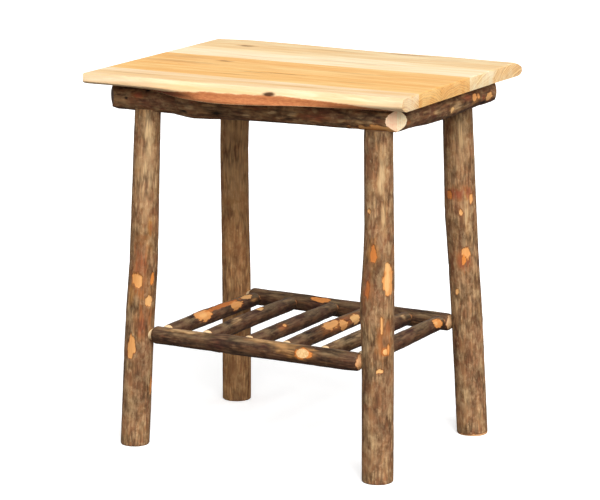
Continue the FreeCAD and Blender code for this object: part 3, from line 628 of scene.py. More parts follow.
# legs
legPieces = {
    "leg_front_left": {"name": "legFrontLeft", "bark": "legBark", "seed": 3.0, "spots": [
        (0.556, -52, 84, 17, 0.0, 0.3), (0.492, -63, 44, 8, 0.3, 0.3), (0.479, -37, 50, 9, 0.25, 0.3),
        (0.399, -31, 36, 16, 0.9, 0.3), (0.381, -34, 14, 7, 0.7, 0.3), (0.301, -80, 29, 22, 0.24, 1.0),
        (0.303, -16, 24, 9, 0.5, 0.6), (0.290, -60, 60, 46, 0.75, 0.3), (0.264, -26, 24, 17, 0.12, 0.8),
        (0.235, -40, 60, 40, 0.8, 0.3), (0.180, -92, 50, 17, 0.26, 0.9), (0.34, -70, 90, 30, 0.9, 0.3), (0.213, -50, 46, 20, 0.95, 0.3),
        (0.109, 12, 36, 12, 0.42, 0.9), (0.35, 120, 60, 16, 0.5, 0.9), (0.14, 170, 40, 14, 0.3, 0.9),
        # the last spot in the next row is painted light: a broad tan patch that brightens the upper leg in the top's
        # shade
        (0.47, 60, 50, 10, 0.8, 0.3), (0.27, -105, 40, 14, 0.45, 0.3), (0.50, -55, 230, 46, 0.0, 0.1),
    ]},
    "leg_front_right": {"name": "legFrontRight", "bark": "legBark", "seed": 9.0, "spots": [
        (0.394, -88, 50, 24, 0.5, 0.4), (0.392, -82, 32, 13, 0.7, 0.5), (0.343, -104, 72, 22, 1.0, 0.3),
        (0.333, -100, 34, 9, 0.95, 0.5), (0.349, -23, 58, 21, 0.3, 0.9), (0.371, -27, 18, 12, 0.08, 1.1),
        (0.347, -27, 40, 10, 0.05, 1.2), (0.465, -103, 9, 7, 0.05, 0.6), (0.270, -48, 34, 5, 0.15, 0.6),
        (0.266, -24, 34, 20, 0.9, 0.3), (0.228, -35, 12, 11, 0.1, -0.9), (0.246, -38, 80, 34, 0.75, 0.3), (0.232, -22, 22, 7, 0.35, 0.6),
        (0.195, -54, 8, 13, 0.1, 0.7), (0.525, -52, 84, 16, 0.0, 0.3), (0.455, -45, 60, 14, 0.1, 0.3),
        (0.13, 60, 44, 15, 0.4, 0.9), (0.42, 140, 50, 14, 0.6, 0.7), (0.25, 175, 26, 16, 0.15, 0.9),
    ]},
    "leg_back_right": {"name": "legBackRight", "bark": "legBark", "seed": 17.0, "bareEnds": ((0.0, 0.0035, 0.5),), "spots": [
        (0.435, -75, 27, 84, 1.0, 0.4), (0.434, -104, 18, 12, 0.75, 0.5), (0.425, -21, 19, 12, 0.25, 0.8),
        (0.331, -52, 27, 18, 0.26, 0.8), (0.316, -60, 46, 26, 0.95, 0.3), (0.317, -62, 18, 8, 0.5, 0.6), (0.403, -63, 13, 7, 0.1, 0.5),
        # the last spot in the next row is painted light: a broad tan patch that brightens the upper leg in the top's
        # shade
        (0.400, -45, 70, 10, 0.05, 0.3), (0.262, -96, 10, 7, 0.05, 0.7), (0.545, -55, 70, 14, 0.05, 0.3), (0.53, -60, 130, 44, 0.1, 0.1),
        (0.18, 30, 46, 14, 0.4, 0.9), (0.50, 90, 38, 12, 0.5, 0.8), (0.30, 150, 54, 15, 0.35, 0.9),
    ]},
    "leg_back_left": {"name": "legBackLeft", "bark": "backLegBark", "seed": 23.0, "spots": [
        # the last spot in the next row is painted light: a long tan patch that brightens the upper leg in the top's
        # shade
        (0.16, 150, 50, 14, 0.45, 0.9), (0.40, 100, 40, 15, 0.3, 0.9), (0.52, 20, 30, 9, 0.7, 0.4), (0.48, -60, 300, 70, 0.15, 0.16),
    ]},
}
legEase = 0.0022
runs = {}
for node, spec in legPieces.items():
    low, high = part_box(node)
    head = high.z - 0.0225
    centres, radii = poleRun(node, 2, 0.012, head - 0.006, clear=(0.2, 0.19, 0.21), count=30)
    runs[node] = centres, radii
    heights = [-0.004] + list(centres[:, 2]) + [head]
    line = [alongLine(centres, radii, 2, z) for z in heights]
    piece = growPole(spec["name"], 2, [c for c, r in line], [r for c, r in line], barks[spec["bark"]], spec["spots"], spec.get("bareEnds", ()), seed=spec["seed"])
    mesh = piece.data
    places = np.array([v.co for v in mesh.vertices])
    foot = np.clip(1 - places[:, 2] / legEase, 0, 1) ** 2 * 0.0018
    middle = np.array([alongLine(centres, radii, 2, z)[0] for z in (0.0, legEase)]).mean(0)
    inward = places[:, :2] - middle[:2]
    inward /= np.linalg.norm(inward, axis=1)[:, None] + 1e-9
    places[:, :2] -= inward * foot[:, None]
    mesh.vertices.foreach_set("co", places.ravel())
    sawnOff(mesh, [((0, 0, 0.0), (0, 0, -1))], sawnEnd)
    finishPiece(piece, [node])
print("legs grown")


def legAtShelf(node):
    centres, radii = runs[node]
    return alongLine(centres, radii, 2, 0.2)


# stretchers between the legs, whittled at both ends
stretcherPieces = {
    "front_stretcher": {"name": "stretcherFront", "legs": ("leg_front_left", "leg_front_right"), "endPaleness": 0.4, "seed": 31.0, "spots": [
        (0.110, 160, 34, 23, 0.62, 0.5), (0.104, 156, 60, 34, 0.4, 0.3), (0.075, 140, 56, 20, 0.35, 0.4), (-0.12, 104, 90, 14, 0.1, 0.3),
        (0.03, 106, 80, 12, 0.2, 0.3), (-0.05, -90, 40, 16, 0.4, 0.8), (0.16, -60, 34, 14, 0.5, 0.8),
    ]},
    "back_stretcher": {"name": "stretcherBack", "legs": ("leg_back_left", "leg_back_right"), "endPaleness": 0.6, "seed": 37.0, "spots": [
        (-0.052, 118, 46, 14, 0.42, 0.6), (-0.032, 160, 10, 9, 0.6, 0.4), (0.121, 166, 12, 10, 0.0, 0.4),
        (0.05, 20, 46, 14, 0.4, 0.8), (-0.15, -30, 40, 14, 0.5, 0.8),
    ]},
}
shoulder = [(-0.007, 0.0096), (-0.0005, 0.0096), (0.0005, 0.0098), (0.003, 0.0109), (0.0055, 0.0126), (0.0075, 0.0143), (0.0095, 0.0153), (0.0115, 0.0157)]
slatNodes = sorted(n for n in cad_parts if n.startswith("shelf_slat"))
slatPlaces = {}
for node in slatNodes:
    low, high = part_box(node)
    slatPlaces[node] = [roundAt(node, 1, y)[0][0] for y in (low.y + 0.03, high.y - 0.03)]
branchStub = {"place": 0.1105, "facing": 160, "halfLength": 0.0120, "halfHeight": 0.0080, "proud": 0.0026, "collar": 0.0085}


def raiseStub(piece, axisPoint, girth):
    # swells the bark into a collar and cuts the branch off flat in the middle of it
    mesh = piece.data
    co = np.array([v.co for v in mesh.vertices])
    angle = math.radians(branchStub["facing"])
    out = np.array([0, math.cos(angle), math.sin(angle)])
    side = np.array([0, -math.sin(angle), math.cos(angle)])
    rel = co - axisPoint
    w, v = rel @ out, rel @ side
    u = co[:, 0] - branchStub["place"]
    near = (w > 0) & (np.abs(u) < 0.04)
    d = np.hypot(u / branchStub["halfLength"], v / branchStub["halfHeight"])
    snap = near & (np.abs(d - 1) < 0.07)
    u = np.where(snap, u / np.where(snap, d, 1), u)
    v = np.where(snap, v / np.where(snap, d, 1), v)
    d = np.where(snap, 1.0, d)
    face = girth + branchStub["proud"]
    flat = near & (d <= 1.001)
    newW = np.where(flat, face, w)
    spread = 1 + branchStub["collar"] / branchStub["halfHeight"]
    collar = near & (d > 1.001) & (d < spread)
    share = (d - 1) / (spread - 1)
    lift = (1 - share) ** 2 * (1 + 2 * share)
    newW = np.where(collar, w + (face - 0.0004 - w) * lift, newW)
    moved = axisPoint + np.outer(newW, out) + np.outer(v, side)
    moved[:, 0] = branchStub["place"] + u
    co[near] = moved[near]
    mesh.vertices.foreach_set("co", co.ravel())
    mesh.materials.append(sawn["sawnBranch"])
    slot = len(mesh.materials) - 1
    for polygon in mesh.polygons:
        if all(flat[i] for i in polygon.vertices):
            polygon.material_index = slot


for node, spec in stretcherPieces.items():
    (leftLeg, leftRadius), (rightLeg, rightRadius) = legAtShelf(spec["legs"][0]), legAtShelf(spec["legs"][1])
    start, end = leftLeg[0] + leftRadius, rightLeg[0] - rightRadius
    side = 0 if node == "front_stretcher" else 1
    holes = [slatPlaces[n][side] for n in slatNodes] + ([0.11] if side == 0 else [])
    centres, radii = poleRun(node, 0, start + 0.014, end - 0.014, clear=holes, count=44)
    runs[node] = centres, radii
    line = []
    for distance, radius in shoulder:
        line.append((alongLine(centres, radii, 0, start + distance)[0], radius))
    line += [(c, r) for c, r in zip(centres, radii) if start + 0.014 < c[0] < end - 0.014]
    for distance, radius in reversed(shoulder):
        line.append((alongLine(centres, radii, 0, end - distance)[0], radius))
    piece = growPole(
        spec["name"], 0, [c for c, r in line], [r for c, r in line], barks["shelfBark"], spec["spots"],
        bareEnds=((start, 0.0065, 1.0), (end, 0.0072, spec["endPaleness"])), seed=spec["seed"], facetsAround=120, step=0.0013, depth=0.0004,
    )
    if side == 0:
        raiseStub(piece, *alongLine(centres, radii, 0, branchStub["place"]))
    finishPiece(piece, [node])
print("stretchers whittled")

# slats of the shelf, each with a bare shoulder let into the stretchers
slatPieces = {
    "shelf_slat_1": {"name": "slat1", "seed": 41.0, "spots": [
        (-0.044, 55, 54, 29, 0.26, 0.7), (-0.046, 42, 22, 12, 0.08, 0.9), (0.030, 70, 110, 13, 0.8, 0.5),
        (0.066, 24, 40, 22, 0.28, 0.7), (0.112, 66, 40, 14, 0.1, 0.5), (0.128, 17, 24, 6, 0.4, 0.3), (0.0, -120, 50, 14, 0.5, 0.6),
    ]},
    "shelf_slat_2": {"name": "slat2", "seed": 43.0, "spots": [
        (0.038, 82, 26, 12, 0.0, 0.6), (-0.055, 64, 40, 14, 0.1, 0.3), (-0.10, -60, 40, 12, 0.5, 0.6),
    ]},
    "shelf_slat_3": {"name": "slat3", "seed": 47.0, "spots": [
        (-0.048, 44, 34, 16, 0.85, 0.3), (-0.04, 48, 12, 7, 0.2, 0.5), (0.09, 150, 34, 12, 0.5, 0.6),
    ]},
    "shelf_slat_4": {"name": "slat4", "seed": 53.0, "spots": [
        (0.0, 58, 56, 22, 0.2, 0.6), (0.036, 16, 34, 22, 0.22, 0.7), (0.081, 22, 36, 22, 0.04, 0.6),
        (0.03, 40, 160, 30, 0.85, 0.4), (-0.09, 200, 34, 12, 0.5, 0.6),
    ]},
    "shelf_slat_5": {"name": "slat5", "seed": 59.0, "spots": [
        (-0.11, 80, 30, 12, 0.6, 0.4), (0.124, 44, 16, 12, 0.05, 0.4), (0.06, 160, 40, 12, 0.4, 0.6), (-0.03, 66, 260, 36, 0.0, 0.15),
    ]},
    "shelf_slat_6": {"name": "slat6", "seed": 61.0, "spots": [
        (0.121, 28, 34, 22, 0.36, 0.7), (0.116, 32, 12, 8, 0.1, 0.8), (0.0, 140, 44, 12, 0.55, 0.6),
    ]},
}
slatShoulder = [(-0.006, 0.0079), (0.0005, 0.0079), (0.002, 0.0085), (0.0045, 0.0098), (0.0075, 0.0115), (0.0105, 0.0126)]
for node, spec in slatPieces.items():
    low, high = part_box(node)
    centres, radii = poleRun(node, 1, low.y + 0.030, high.y - 0.030, count=18)
    faces = []
    for side, stretcher in ((0, "front_stretcher"), (1, "back_stretcher")):
        stick, stickRadius = alongLine(*runs[stretcher], 0, slatPlaces[node][side])
        faces.append(stick[1] + stickRadius * (1 if side == 0 else -1))
    start, end = faces
    line = []
    for distance, radius in slatShoulder:
        line.append((alongLine(centres, radii, 1, start + distance)[0], radius))
    line += [(c, r) for c, r in zip(centres, radii) if start + 0.012 < c[1] < end - 0.012]
    for distance, radius in reversed(slatShoulder):
        line.append((alongLine(centres, radii, 1, end - distance)[0], radius))
    piece = growPole(
        spec["name"], 1, [c for c, r in line], [r for c, r in line], barks["shelfBark"], spec["spots"],
        bareEnds=((start, 0.0135, 0.9), (end, 0.0012, 0.2)), seed=spec["seed"], facetsAround=88, step=0.0016,
    )
    finishPiece(piece, [node])
print("slats laid")

# rails under the top: mitred poles with their corners knocked off
railPieces = {
    "front_rail": {"name": "railFront", "axis": 0, "seed": 71.0, "screw": 0.02, "spots": [
        # the second spot in the next row is painted light: a long ochre patch standing for light thrown up from the
        # floor onto the rail
        (0.246, 240, 98, 28, 0.22, 0.8), (-0.01, 196, 210, 26, 0.3, 0.1), (-0.236, 178, 8, 6, 2, 1.2), (-0.196, 132, 12, 7, 2, 0.9), (-0.213, 161, 26, 14, 1.0, 0.3),
        (-0.120, 208, 16, 6, 2, 0.8), (-0.056, 208, 20, 7, 2, 0.6), (-0.109, 186, 26, 12, 0.0, 0.2), (-0.002, 207, 18, 13, 0.05, 0.4),
        (0.053, 184, 24, 10, 0.0, 0.3), (0.091, 184, 26, 14, 0.05, 0.3), (0.024, 172, 40, 10, 0.9, 0.3), (0.181, 196, 16, 10, 0.2, 0.3),
        (0.216, 200, 15, 11, 0.2, 0.35), (0.13, 190, 60, 16, 1.0, 0.2),
        (-0.1, -60, 60, 16, 0.4, 0.8),
    ]},
    "back_rail": {"name": "railBack", "axis": 0, "seed": 73.0, "screw": -0.015, "spots": [
        (-0.1, 20, 50, 16, 0.45, 0.8), (0.12, -20, 36, 14, 0.3, 0.8), (0.0, 40, 30, 10, 0.7, 0.5),
    ]},
    "left_rail": {"name": "railLeft", "axis": 1, "seed": 79.0, "screw": 0.01, "spots": [
        (-0.06, 170, 40, 14, 0.5, 0.7), (0.08, 190, 30, 12, 0.3, 0.8),
    ]},
    "right_rail": {"name": "railRight", "axis": 1, "seed": 83.0, "screw": -0.01, "spots": [
        (-0.156, -12, 16, 14, 0.8, 0.3), (-0.056, -1, 26, 9, 0.1, 0.3), (0.003, -10, 14, 11, 0.0, 0.5), (0.022, -6, 60, 16, 0.1, 0.3),
        (0.056, 18, 44, 14, 0.95, 0.3), (0.095, 4, 40, 24, 0.55, 0.4), (0.090, 10, 17, 14, 0.3, 0.6), (0.105, 7, 12, 10, 0.3, 0.6),
        (0.124, -6, 16, 20, 1.0, 0.4), (0.147, -15, 28, 17, 0.15, 0.7), (0.130, -36, 30, 7, 2, 0.6),
    ]},
}
screwPieces = {"holeDiameter": 0.0115, "holeDepth": 0.013, "headDiameter": 0.0086, "headHeight": 0.0026}
screwPlaces = []


def drillForScrew(piece, node, spec):
    # a counterbored hole up into the rail, for the screw that holds the top down
    axis = spec["axis"]
    middle = (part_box(node)[0][axis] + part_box(node)[1][axis]) / 2 + spec["screw"]
    centre, radius = alongLine(*runs[node], axis, middle)
    bottom = centre[2] - radius
    drill = bpy.data.meshes.new("drill")
    work = bmesh.new()
    bmesh.ops.create_cone(
        work, cap_ends=True, segments=40, radius1=screwPieces["holeDiameter"] / 2,
        radius2=screwPieces["holeDiameter"] / 2, depth=0.02,
    )
    bmesh.ops.translate(work, verts=work.verts[:], vec=(centre[0], centre[1], bottom + screwPieces["holeDepth"] - 0.01))
    work.to_mesh(drill)
    work.free()
    drill.materials.append(sawnEnd)
    tool = bpy.data.objects.new("drill", drill)
    bpy.context.scene.collection.objects.link(tool)
    cut = piece.modifiers.new("screwHole", "BOOLEAN")
    cut.operation = "DIFFERENCE"
    cut.solver = "EXACT"
    cut.material_mode = "TRANSFER"
    cut.object = tool
    settled = bpy.context.evaluated_depsgraph_get()
    drilled = bpy.data.meshes.new_from_object(piece.evaluated_get(settled), preserve_all_data_layers=True, depsgraph=settled)
    piece.modifiers.clear()
    old = piece.data
    piece.data = drilled
    drilled.name = old.name + "Drilled"
    bpy.data.meshes.remove(old)
    bpy.data.objects.remove(tool)
    screwPlaces.append((centre[0], centre[1], bottom + screwPieces["holeDepth"] - 0.00005))


for node, spec in railPieces.items():
    axis = spec["axis"]
    low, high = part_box(node)
    first, last = (low.x, high.x) if axis == 0 else (low.y, high.y)
    legsOnIt = [n for n in legPieces if (axis == 0 and node.split("_")[0] in n)]
    clear = []
    for leg in legsOnIt:
        centres, radii = runs[leg]
        clear += [centres[-1][0] + d for d in (-0.03, -0.018, -0.006, 0.006, 0.018, 0.03)]
    runs[node] = poleRun(node, axis, first + 0.045, last - 0.045, clear=clear, count=34)
corners = {
    ("front", "left"): None, ("front", "right"): None, ("back", "left"): None, ("back", "right"): None,
}
for cross, side in corners:
    crossLine, sideLine = runs[cross + "_rail"][0], runs[side + "_rail"][0]
    x = sideLine[0 if cross == "front" else -1][0]
    y = crossLine[0 if side == "left" else -1][1]
    corners[cross, side] = np.array([x, y, 0.6165])
flatHeight = min(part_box(n)[1].z for n in railPieces)
cornerLean = 12  # degrees
for node, spec in railPieces.items():
    axis = spec["axis"]
    centres, radii = runs[node]
    whole = node.split("_")[0]
    ends = [corners[whole, s] for s in ("left", "right")] if axis == 0 else [corners[c, whole] for c in ("front", "back")]
    first, last = ends[0][axis] - 0.034, ends[1][axis] + 0.034
    places = [first] + [c[axis] for c in centres] + [last]
    line = []
    for place in places:
        centre, radius = alongLine(centres, radii, axis, place)
        if place in (first, last):
            near = centres[0] if place == first else centres[-1]
            centre = np.array([near[0], near[1], near[2]])
            centre[axis] = place
        line.append((centre, radius))
    piece = growPole(
        spec["name"], axis, [c for c, r in line], [r for c, r in line], barks["railBark"], spec["spots"],
        seed=spec["seed"], facetsAround=116, step=0.0018, ridgeWidth=0.007, depth=0.00055,
    )
    mesh = piece.data
    spots = np.array([v.co for v in mesh.vertices])
    spots[:, 2] = np.minimum(spots[:, 2], flatHeight)
    mesh.vertices.foreach_set("co", spots.ravel())
    planes = []
    for corner in ends:
        out = np.sign(corner[:2] - np.array([0.0065, 0.0]))
        toMiddle = -out
        mitre = np.array([out[0], -out[1], 0.0]) if axis == 0 else np.array([-out[0], out[1], 0.0])
        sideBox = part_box(("left" if out[0] < 0 else "right") + "_rail")
        reach = abs((sideBox[0].y if out[1] < 0 else sideBox[1].y) - corner[1])
        planes.append((tuple(corner - mitre * 0.00006), tuple(mitre)))
        facet = np.array([out[0], out[1], 0.0])
        planes.append((tuple(corner + facet * reach), tuple(facet)))
        if out[0] < 0 and out[1] < 0:  # the front left corner is hardly cut
            planes[-1] = (tuple(corner + facet * (reach + 0.0058)), tuple(facet))
        elif out[1] < 0:  # the front right corner has two facets, which meet at the mitre
            lean = math.radians(45 + (-cornerLean if axis == 1 else cornerLean))
            planes[-1] = (tuple(corner + facet * (reach + 0.0028)), (math.cos(lean), -math.sin(lean), 0.0))
        finish = sawnEnd
        if out[1] < 0:
            # the front left corner facet gets the dark sawn wood, painted shade
            finish = sawn["sawnWeathered"] if out[0] < 0 else sawn["sawnCornerPink"] if axis == 0 else sawn["sawnCornerCream"]
        sawnOff(mesh, planes, finish)
        planes = []
    drillForScrew(piece, node, spec)
    finishPiece(piece, [node], angle=34)
print("rails mitred")


# the screws: one head, set into each hole by geometry nodes
def makeScrewHead():
    radius, height = screwPieces["headDiameter"] / 2, screwPieces["headHeight"]
    profile = [(0.0, 0.0), (radius, 0.0), (radius, height * 0.35), (radius * 0.9, height * 0.68), (radius * 0.62, height * 0.9), (radius * 0.3, height), (0.0, height)]
    mesh = bpy.data.meshes.new("screwHead")
    work = bmesh.new()
    around = 24
    rows = []
    for r, z in profile[1:-1]:
        row = []
        for k in range(around):
            angle = 2 * math.pi * k / around
            reach = r
            row.append(work.verts.new((reach * math.cos(angle), reach * math.sin(angle), -z)))
        rows.append(row)
    for upper, lower in zip(rows, rows[1:]):
        for k in range(around):
            work.faces.new((upper[k], upper[(k + 1) % around], lower[(k + 1) % around], lower[k]))
    work.faces.new(rows[0][::-1])
    # the driver's cross: a sunken star inside the last ring
    star, floorRing = [], []
    for k in range(around):
        angle = 2 * math.pi * k / around
        arm = max(abs(math.cos(angle)), abs(math.sin(angle)))
        reach = radius * (0.5 if arm > 0.97 else 0.17)
        star.append(work.verts.new((reach * math.cos(angle), reach * math.sin(angle), -height * 0.98)))
        floorRing.append(work.verts.new((reach * 0.72 * math.cos(angle), reach * 0.72 * math.sin(angle), -height * 0.3)))
    outer = rows[-1]
    for k in range(around):
        after = (k + 1) % around
        work.faces.new((outer[k], outer[after], star[after], star[k]))
        work.faces.new((star[k], star[after], floorRing[after], floorRing[k]))
    work.faces.new(floorRing)
    # the last ring has to lie outside the star
    for vert in outer:
        away = Vector((vert.co.x, vert.co.y, 0)).normalized() * radius * 0.62
        vert.co.x, vert.co.y = away.x, away.y
        vert.co.z = -height * 0.93
    bmesh.ops.recalc_face_normals(work, faces=work.faces[:])
    work.to_mesh(mesh)
    work.free()
    head = bpy.data.objects.new("screwHeadShape", mesh)
    return head


def makeSteel():
    material, tree, shader = newMaterial("zincedSteel")
    place = tree.nodes.new("ShaderNodeTexCoord").outputs["Object"]
    grain = noise(tree, place, 900.0, 3.0, 0.6)
    feed(tree, shader.inputs["Base Color"], mixed(tree, ramp(tree, grain, 0.35, 0.7), rgb(206, 196, 168), rgb(168, 158, 138)))
    shader.inputs["Metallic"].default_value = 1.0
    feed(tree, shader.inputs["Roughness"], ramp(tree, grain, 0.3, 0.7, 0.28, 0.46))
    bumped(tree, shader, grain, 0.15, 0.0001)
    return material


def setScrews():
    tree, given, result = newGroup("screwSetter", "GeometryNodeTree", [
        ("Places", "NodeSocketGeometry", None), ("Head", "NodeSocketObject", None),
        ("Turn Seed", "NodeSocketInt", 5), ("Steel", "NodeSocketMaterial", None),
    ], [("Screws", "NodeSocketGeometry")])
    head = tree.nodes.new("GeometryNodeObjectInfo")
    feed(tree, head.inputs["Object"], given.outputs["Head"])
    turn = tree.nodes.new("FunctionNodeRandomValue")
    turn.data_type = "FLOAT"
    turn.inputs[2].default_value = 0.0
    turn.inputs[3].default_value = 1.6
    feed(tree, turn.inputs["Seed"], given.outputs["Turn Seed"])
    setOut = tree.nodes.new("GeometryNodeInstanceOnPoints")
    feed(tree, setOut.inputs["Points"], given.outputs["Places"])
    feed(tree, setOut.inputs["Instance"], head.outputs["Geometry"])
    feed(tree, setOut.inputs["Rotation"], joined(tree, 0.0, 0.0, turn.outputs[1]))
    solid = tree.nodes.new("GeometryNodeRealizeInstances")
    feed(tree, solid.inputs["Geometry"], setOut.outputs["Instances"])
    dress = tree.nodes.new("GeometryNodeSetMaterial")
    feed(tree, dress.inputs["Geometry"], solid.outputs["Geometry"])
    feed(tree, dress.inputs["Material"], given.outputs["Steel"])
    feed(tree, result.inputs["Screws"], dress.outputs["Geometry"])
    mesh = bpy.data.meshes.new("screwPlaces")
    mesh.from_pydata(screwPlaces, [], [])
    holder = bpy.data.objects.new("screwPlaces", mesh)
    bpy.context.scene.collection.objects.link(holder)
    headShape = makeScrewHead()
    setter = holder.modifiers.new("screws", "NODES")
    setter.node_group = tree
    values = {"Head": headShape, "Turn Seed": 5, "Steel": makeSteel()}
    for item in tree.interface.items_tree:
        if item.in_out == "INPUT" and item.name in values:
            setter[item.identifier] = values[item.name]
    made = bpy.data.meshes.new_from_object(holder.evaluated_get(bpy.context.evaluated_depsgraph_get()))
    made.name = "topScrews"
    bpy.data.objects.remove(holder)
    bpy.data.objects.remove(headShape)
    screws = bpy.data.objects.new("topScrews", made)
    bpy.context.scene.collection.objects.link(screws)
    made.polygons.foreach_set("use_smooth", [True] * len(made.polygons))
    made.set_sharp_from_angle(angle=math.radians(35))
    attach(screws, "root")


setScrews()
print("screws set")

# the top: five glued boards
boardPieces = {
    "top_board_front": {"name": "topFront", "wood": "frontBoard", "waney": -1},
    "top_board_front_middle": {"name": "topFrontMiddle", "wood": "frontMiddleBoard", "waney": 0},
    "top_board_middle": {"name": "topMiddle", "wood": "middleBoard", "waney": 0},
    "top_board_back_middle": {"name": "topBackMiddle", "wood": "backMiddleBoard", "waney": 0},
    "top_board_back": {"name": "topBack", "wood": "backBoard", "waney": 1},
}
# each mark is x, y, length, width, strength: a dark streak, or a knot where it is above one
boardWoods = {
    "frontBoard": {
        "base": (252, 232, 194), "grain": (243, 205, 148), "dark": (218, 156, 96), "seed": 1.3,
        "marks": [(-0.22, -0.19, 0.12, 0.008, 0.5), (0.10, -0.18, 0.16, 0.007, 0.35), (0.0667, -0.2311, 0.020, 0.010, 1.9)],
    },
    "frontMiddleBoard": {
        "base": (252, 210, 138), "grain": (244, 184, 104), "dark": (206, 136, 64), "seed": 4.1,
        "marks": [(0.010, -0.073, 0.075, 0.006, 1.0), (-0.045, -0.080, 0.06, 0.005, 0.8), (-0.06, -0.118, 0.09, 0.007, 0.5), (0.16, -0.100, 0.09, 0.005, 0.4)],
    },
    "middleBoard": {
        "base": (251, 209, 138), "grain": (244, 184, 104), "dark": (206, 130, 62), "seed": 7.7,
        "marks": [(-0.155, 0.005, 0.03, 0.011, 1.25), (-0.22, -0.035, 0.16, 0.022, 0.35), (0.12, -0.01, 0.12, 0.006, 0.4), (-0.24, 0.02, 0.10, 0.030, 0.3)],
    },
    "backMiddleBoard": {
        "base": (255, 241, 208), "grain": (253, 220, 164), "dark": (226, 172, 108), "seed": 12.2,
        "marks": [(0.05, 0.095, 0.18, 0.008, 0.35), (-0.14, 0.075, 0.12, 0.006, 0.3)],
    },
    "backBoard": {
        "base": (245, 222, 176), "grain": (240, 200, 140), "dark": (202, 142, 86), "seed": 15.9,
        "marks": [(-0.214, 0.182, 0.035, 0.015, 1.4), (0.09, 0.225, 0.10, 0.010, 0.9), (-0.05, 0.205, 0.12, 0.007, 0.4)],
    },
}


def makeWoodMark():
    tree, given, result = newGroup("woodMark", "ShaderNodeTree", [
        ("Place", "NodeSocketVector", None), ("Centre", "NodeSocketVector", None),
        ("Length", "NodeSocketFloat", 0.03), ("Width", "NodeSocketFloat", 0.01),
    ], [("Mask", "NodeSocketFloat"), ("Heart", "NodeSocketFloat"), ("Bend", "NodeSocketFloat")])
    x, y, z = split(tree, vectorMaths(tree, "SUBTRACT", given.outputs["Place"], given.outputs["Centre"]))
    ragged = maths(tree, "MULTIPLY", maths(tree, "SUBTRACT", noise(tree, given.outputs["Place"], 95.0, 3.0, 0.6), 0.5), 1.1)
    u = maths(tree, "DIVIDE", x, maths(tree, "MULTIPLY", given.outputs["Length"], 0.5))
    v = maths(tree, "DIVIDE", y, maths(tree, "MULTIPLY", given.outputs["Width"], 0.5))
    distance = vectorMaths(tree, "LENGTH", joined(tree, u, v, 0.0))
    feed(tree, result.inputs["Mask"], ramp(tree, maths(tree, "ADD", distance, ragged), 0.3, 1.5, 1.0, 0.0))
    feed(tree, result.inputs["Heart"], ramp(tree, maths(tree, "ADD", distance, maths(tree, "MULTIPLY", ragged, 0.4)), 0.45, 0.75, 1.0, 0.0))
    push = maths(tree, "DIVIDE", v, maths(tree, "ADD", maths(tree, "MULTIPLY", distance, distance), 0.6))
    feed(tree, result.inputs["Bend"], maths(tree, "MULTIPLY", push, maths(tree, "MULTIPLY", given.outputs["Width"], 0.35)))
    return tree


woodMark = makeWoodMark()
edgeFinish = {
    "innerBark": (176, 100, 58), "innerBarkLight": (196, 122, 72), "knot": (74, 44, 24), "peach": (250, 206, 160),
    "line": (124, 58, 38), "knotPlace": 0.0667, "knotDown": 0.36, "knotReach": 0.0125, "knotHeight": 0.15,
}


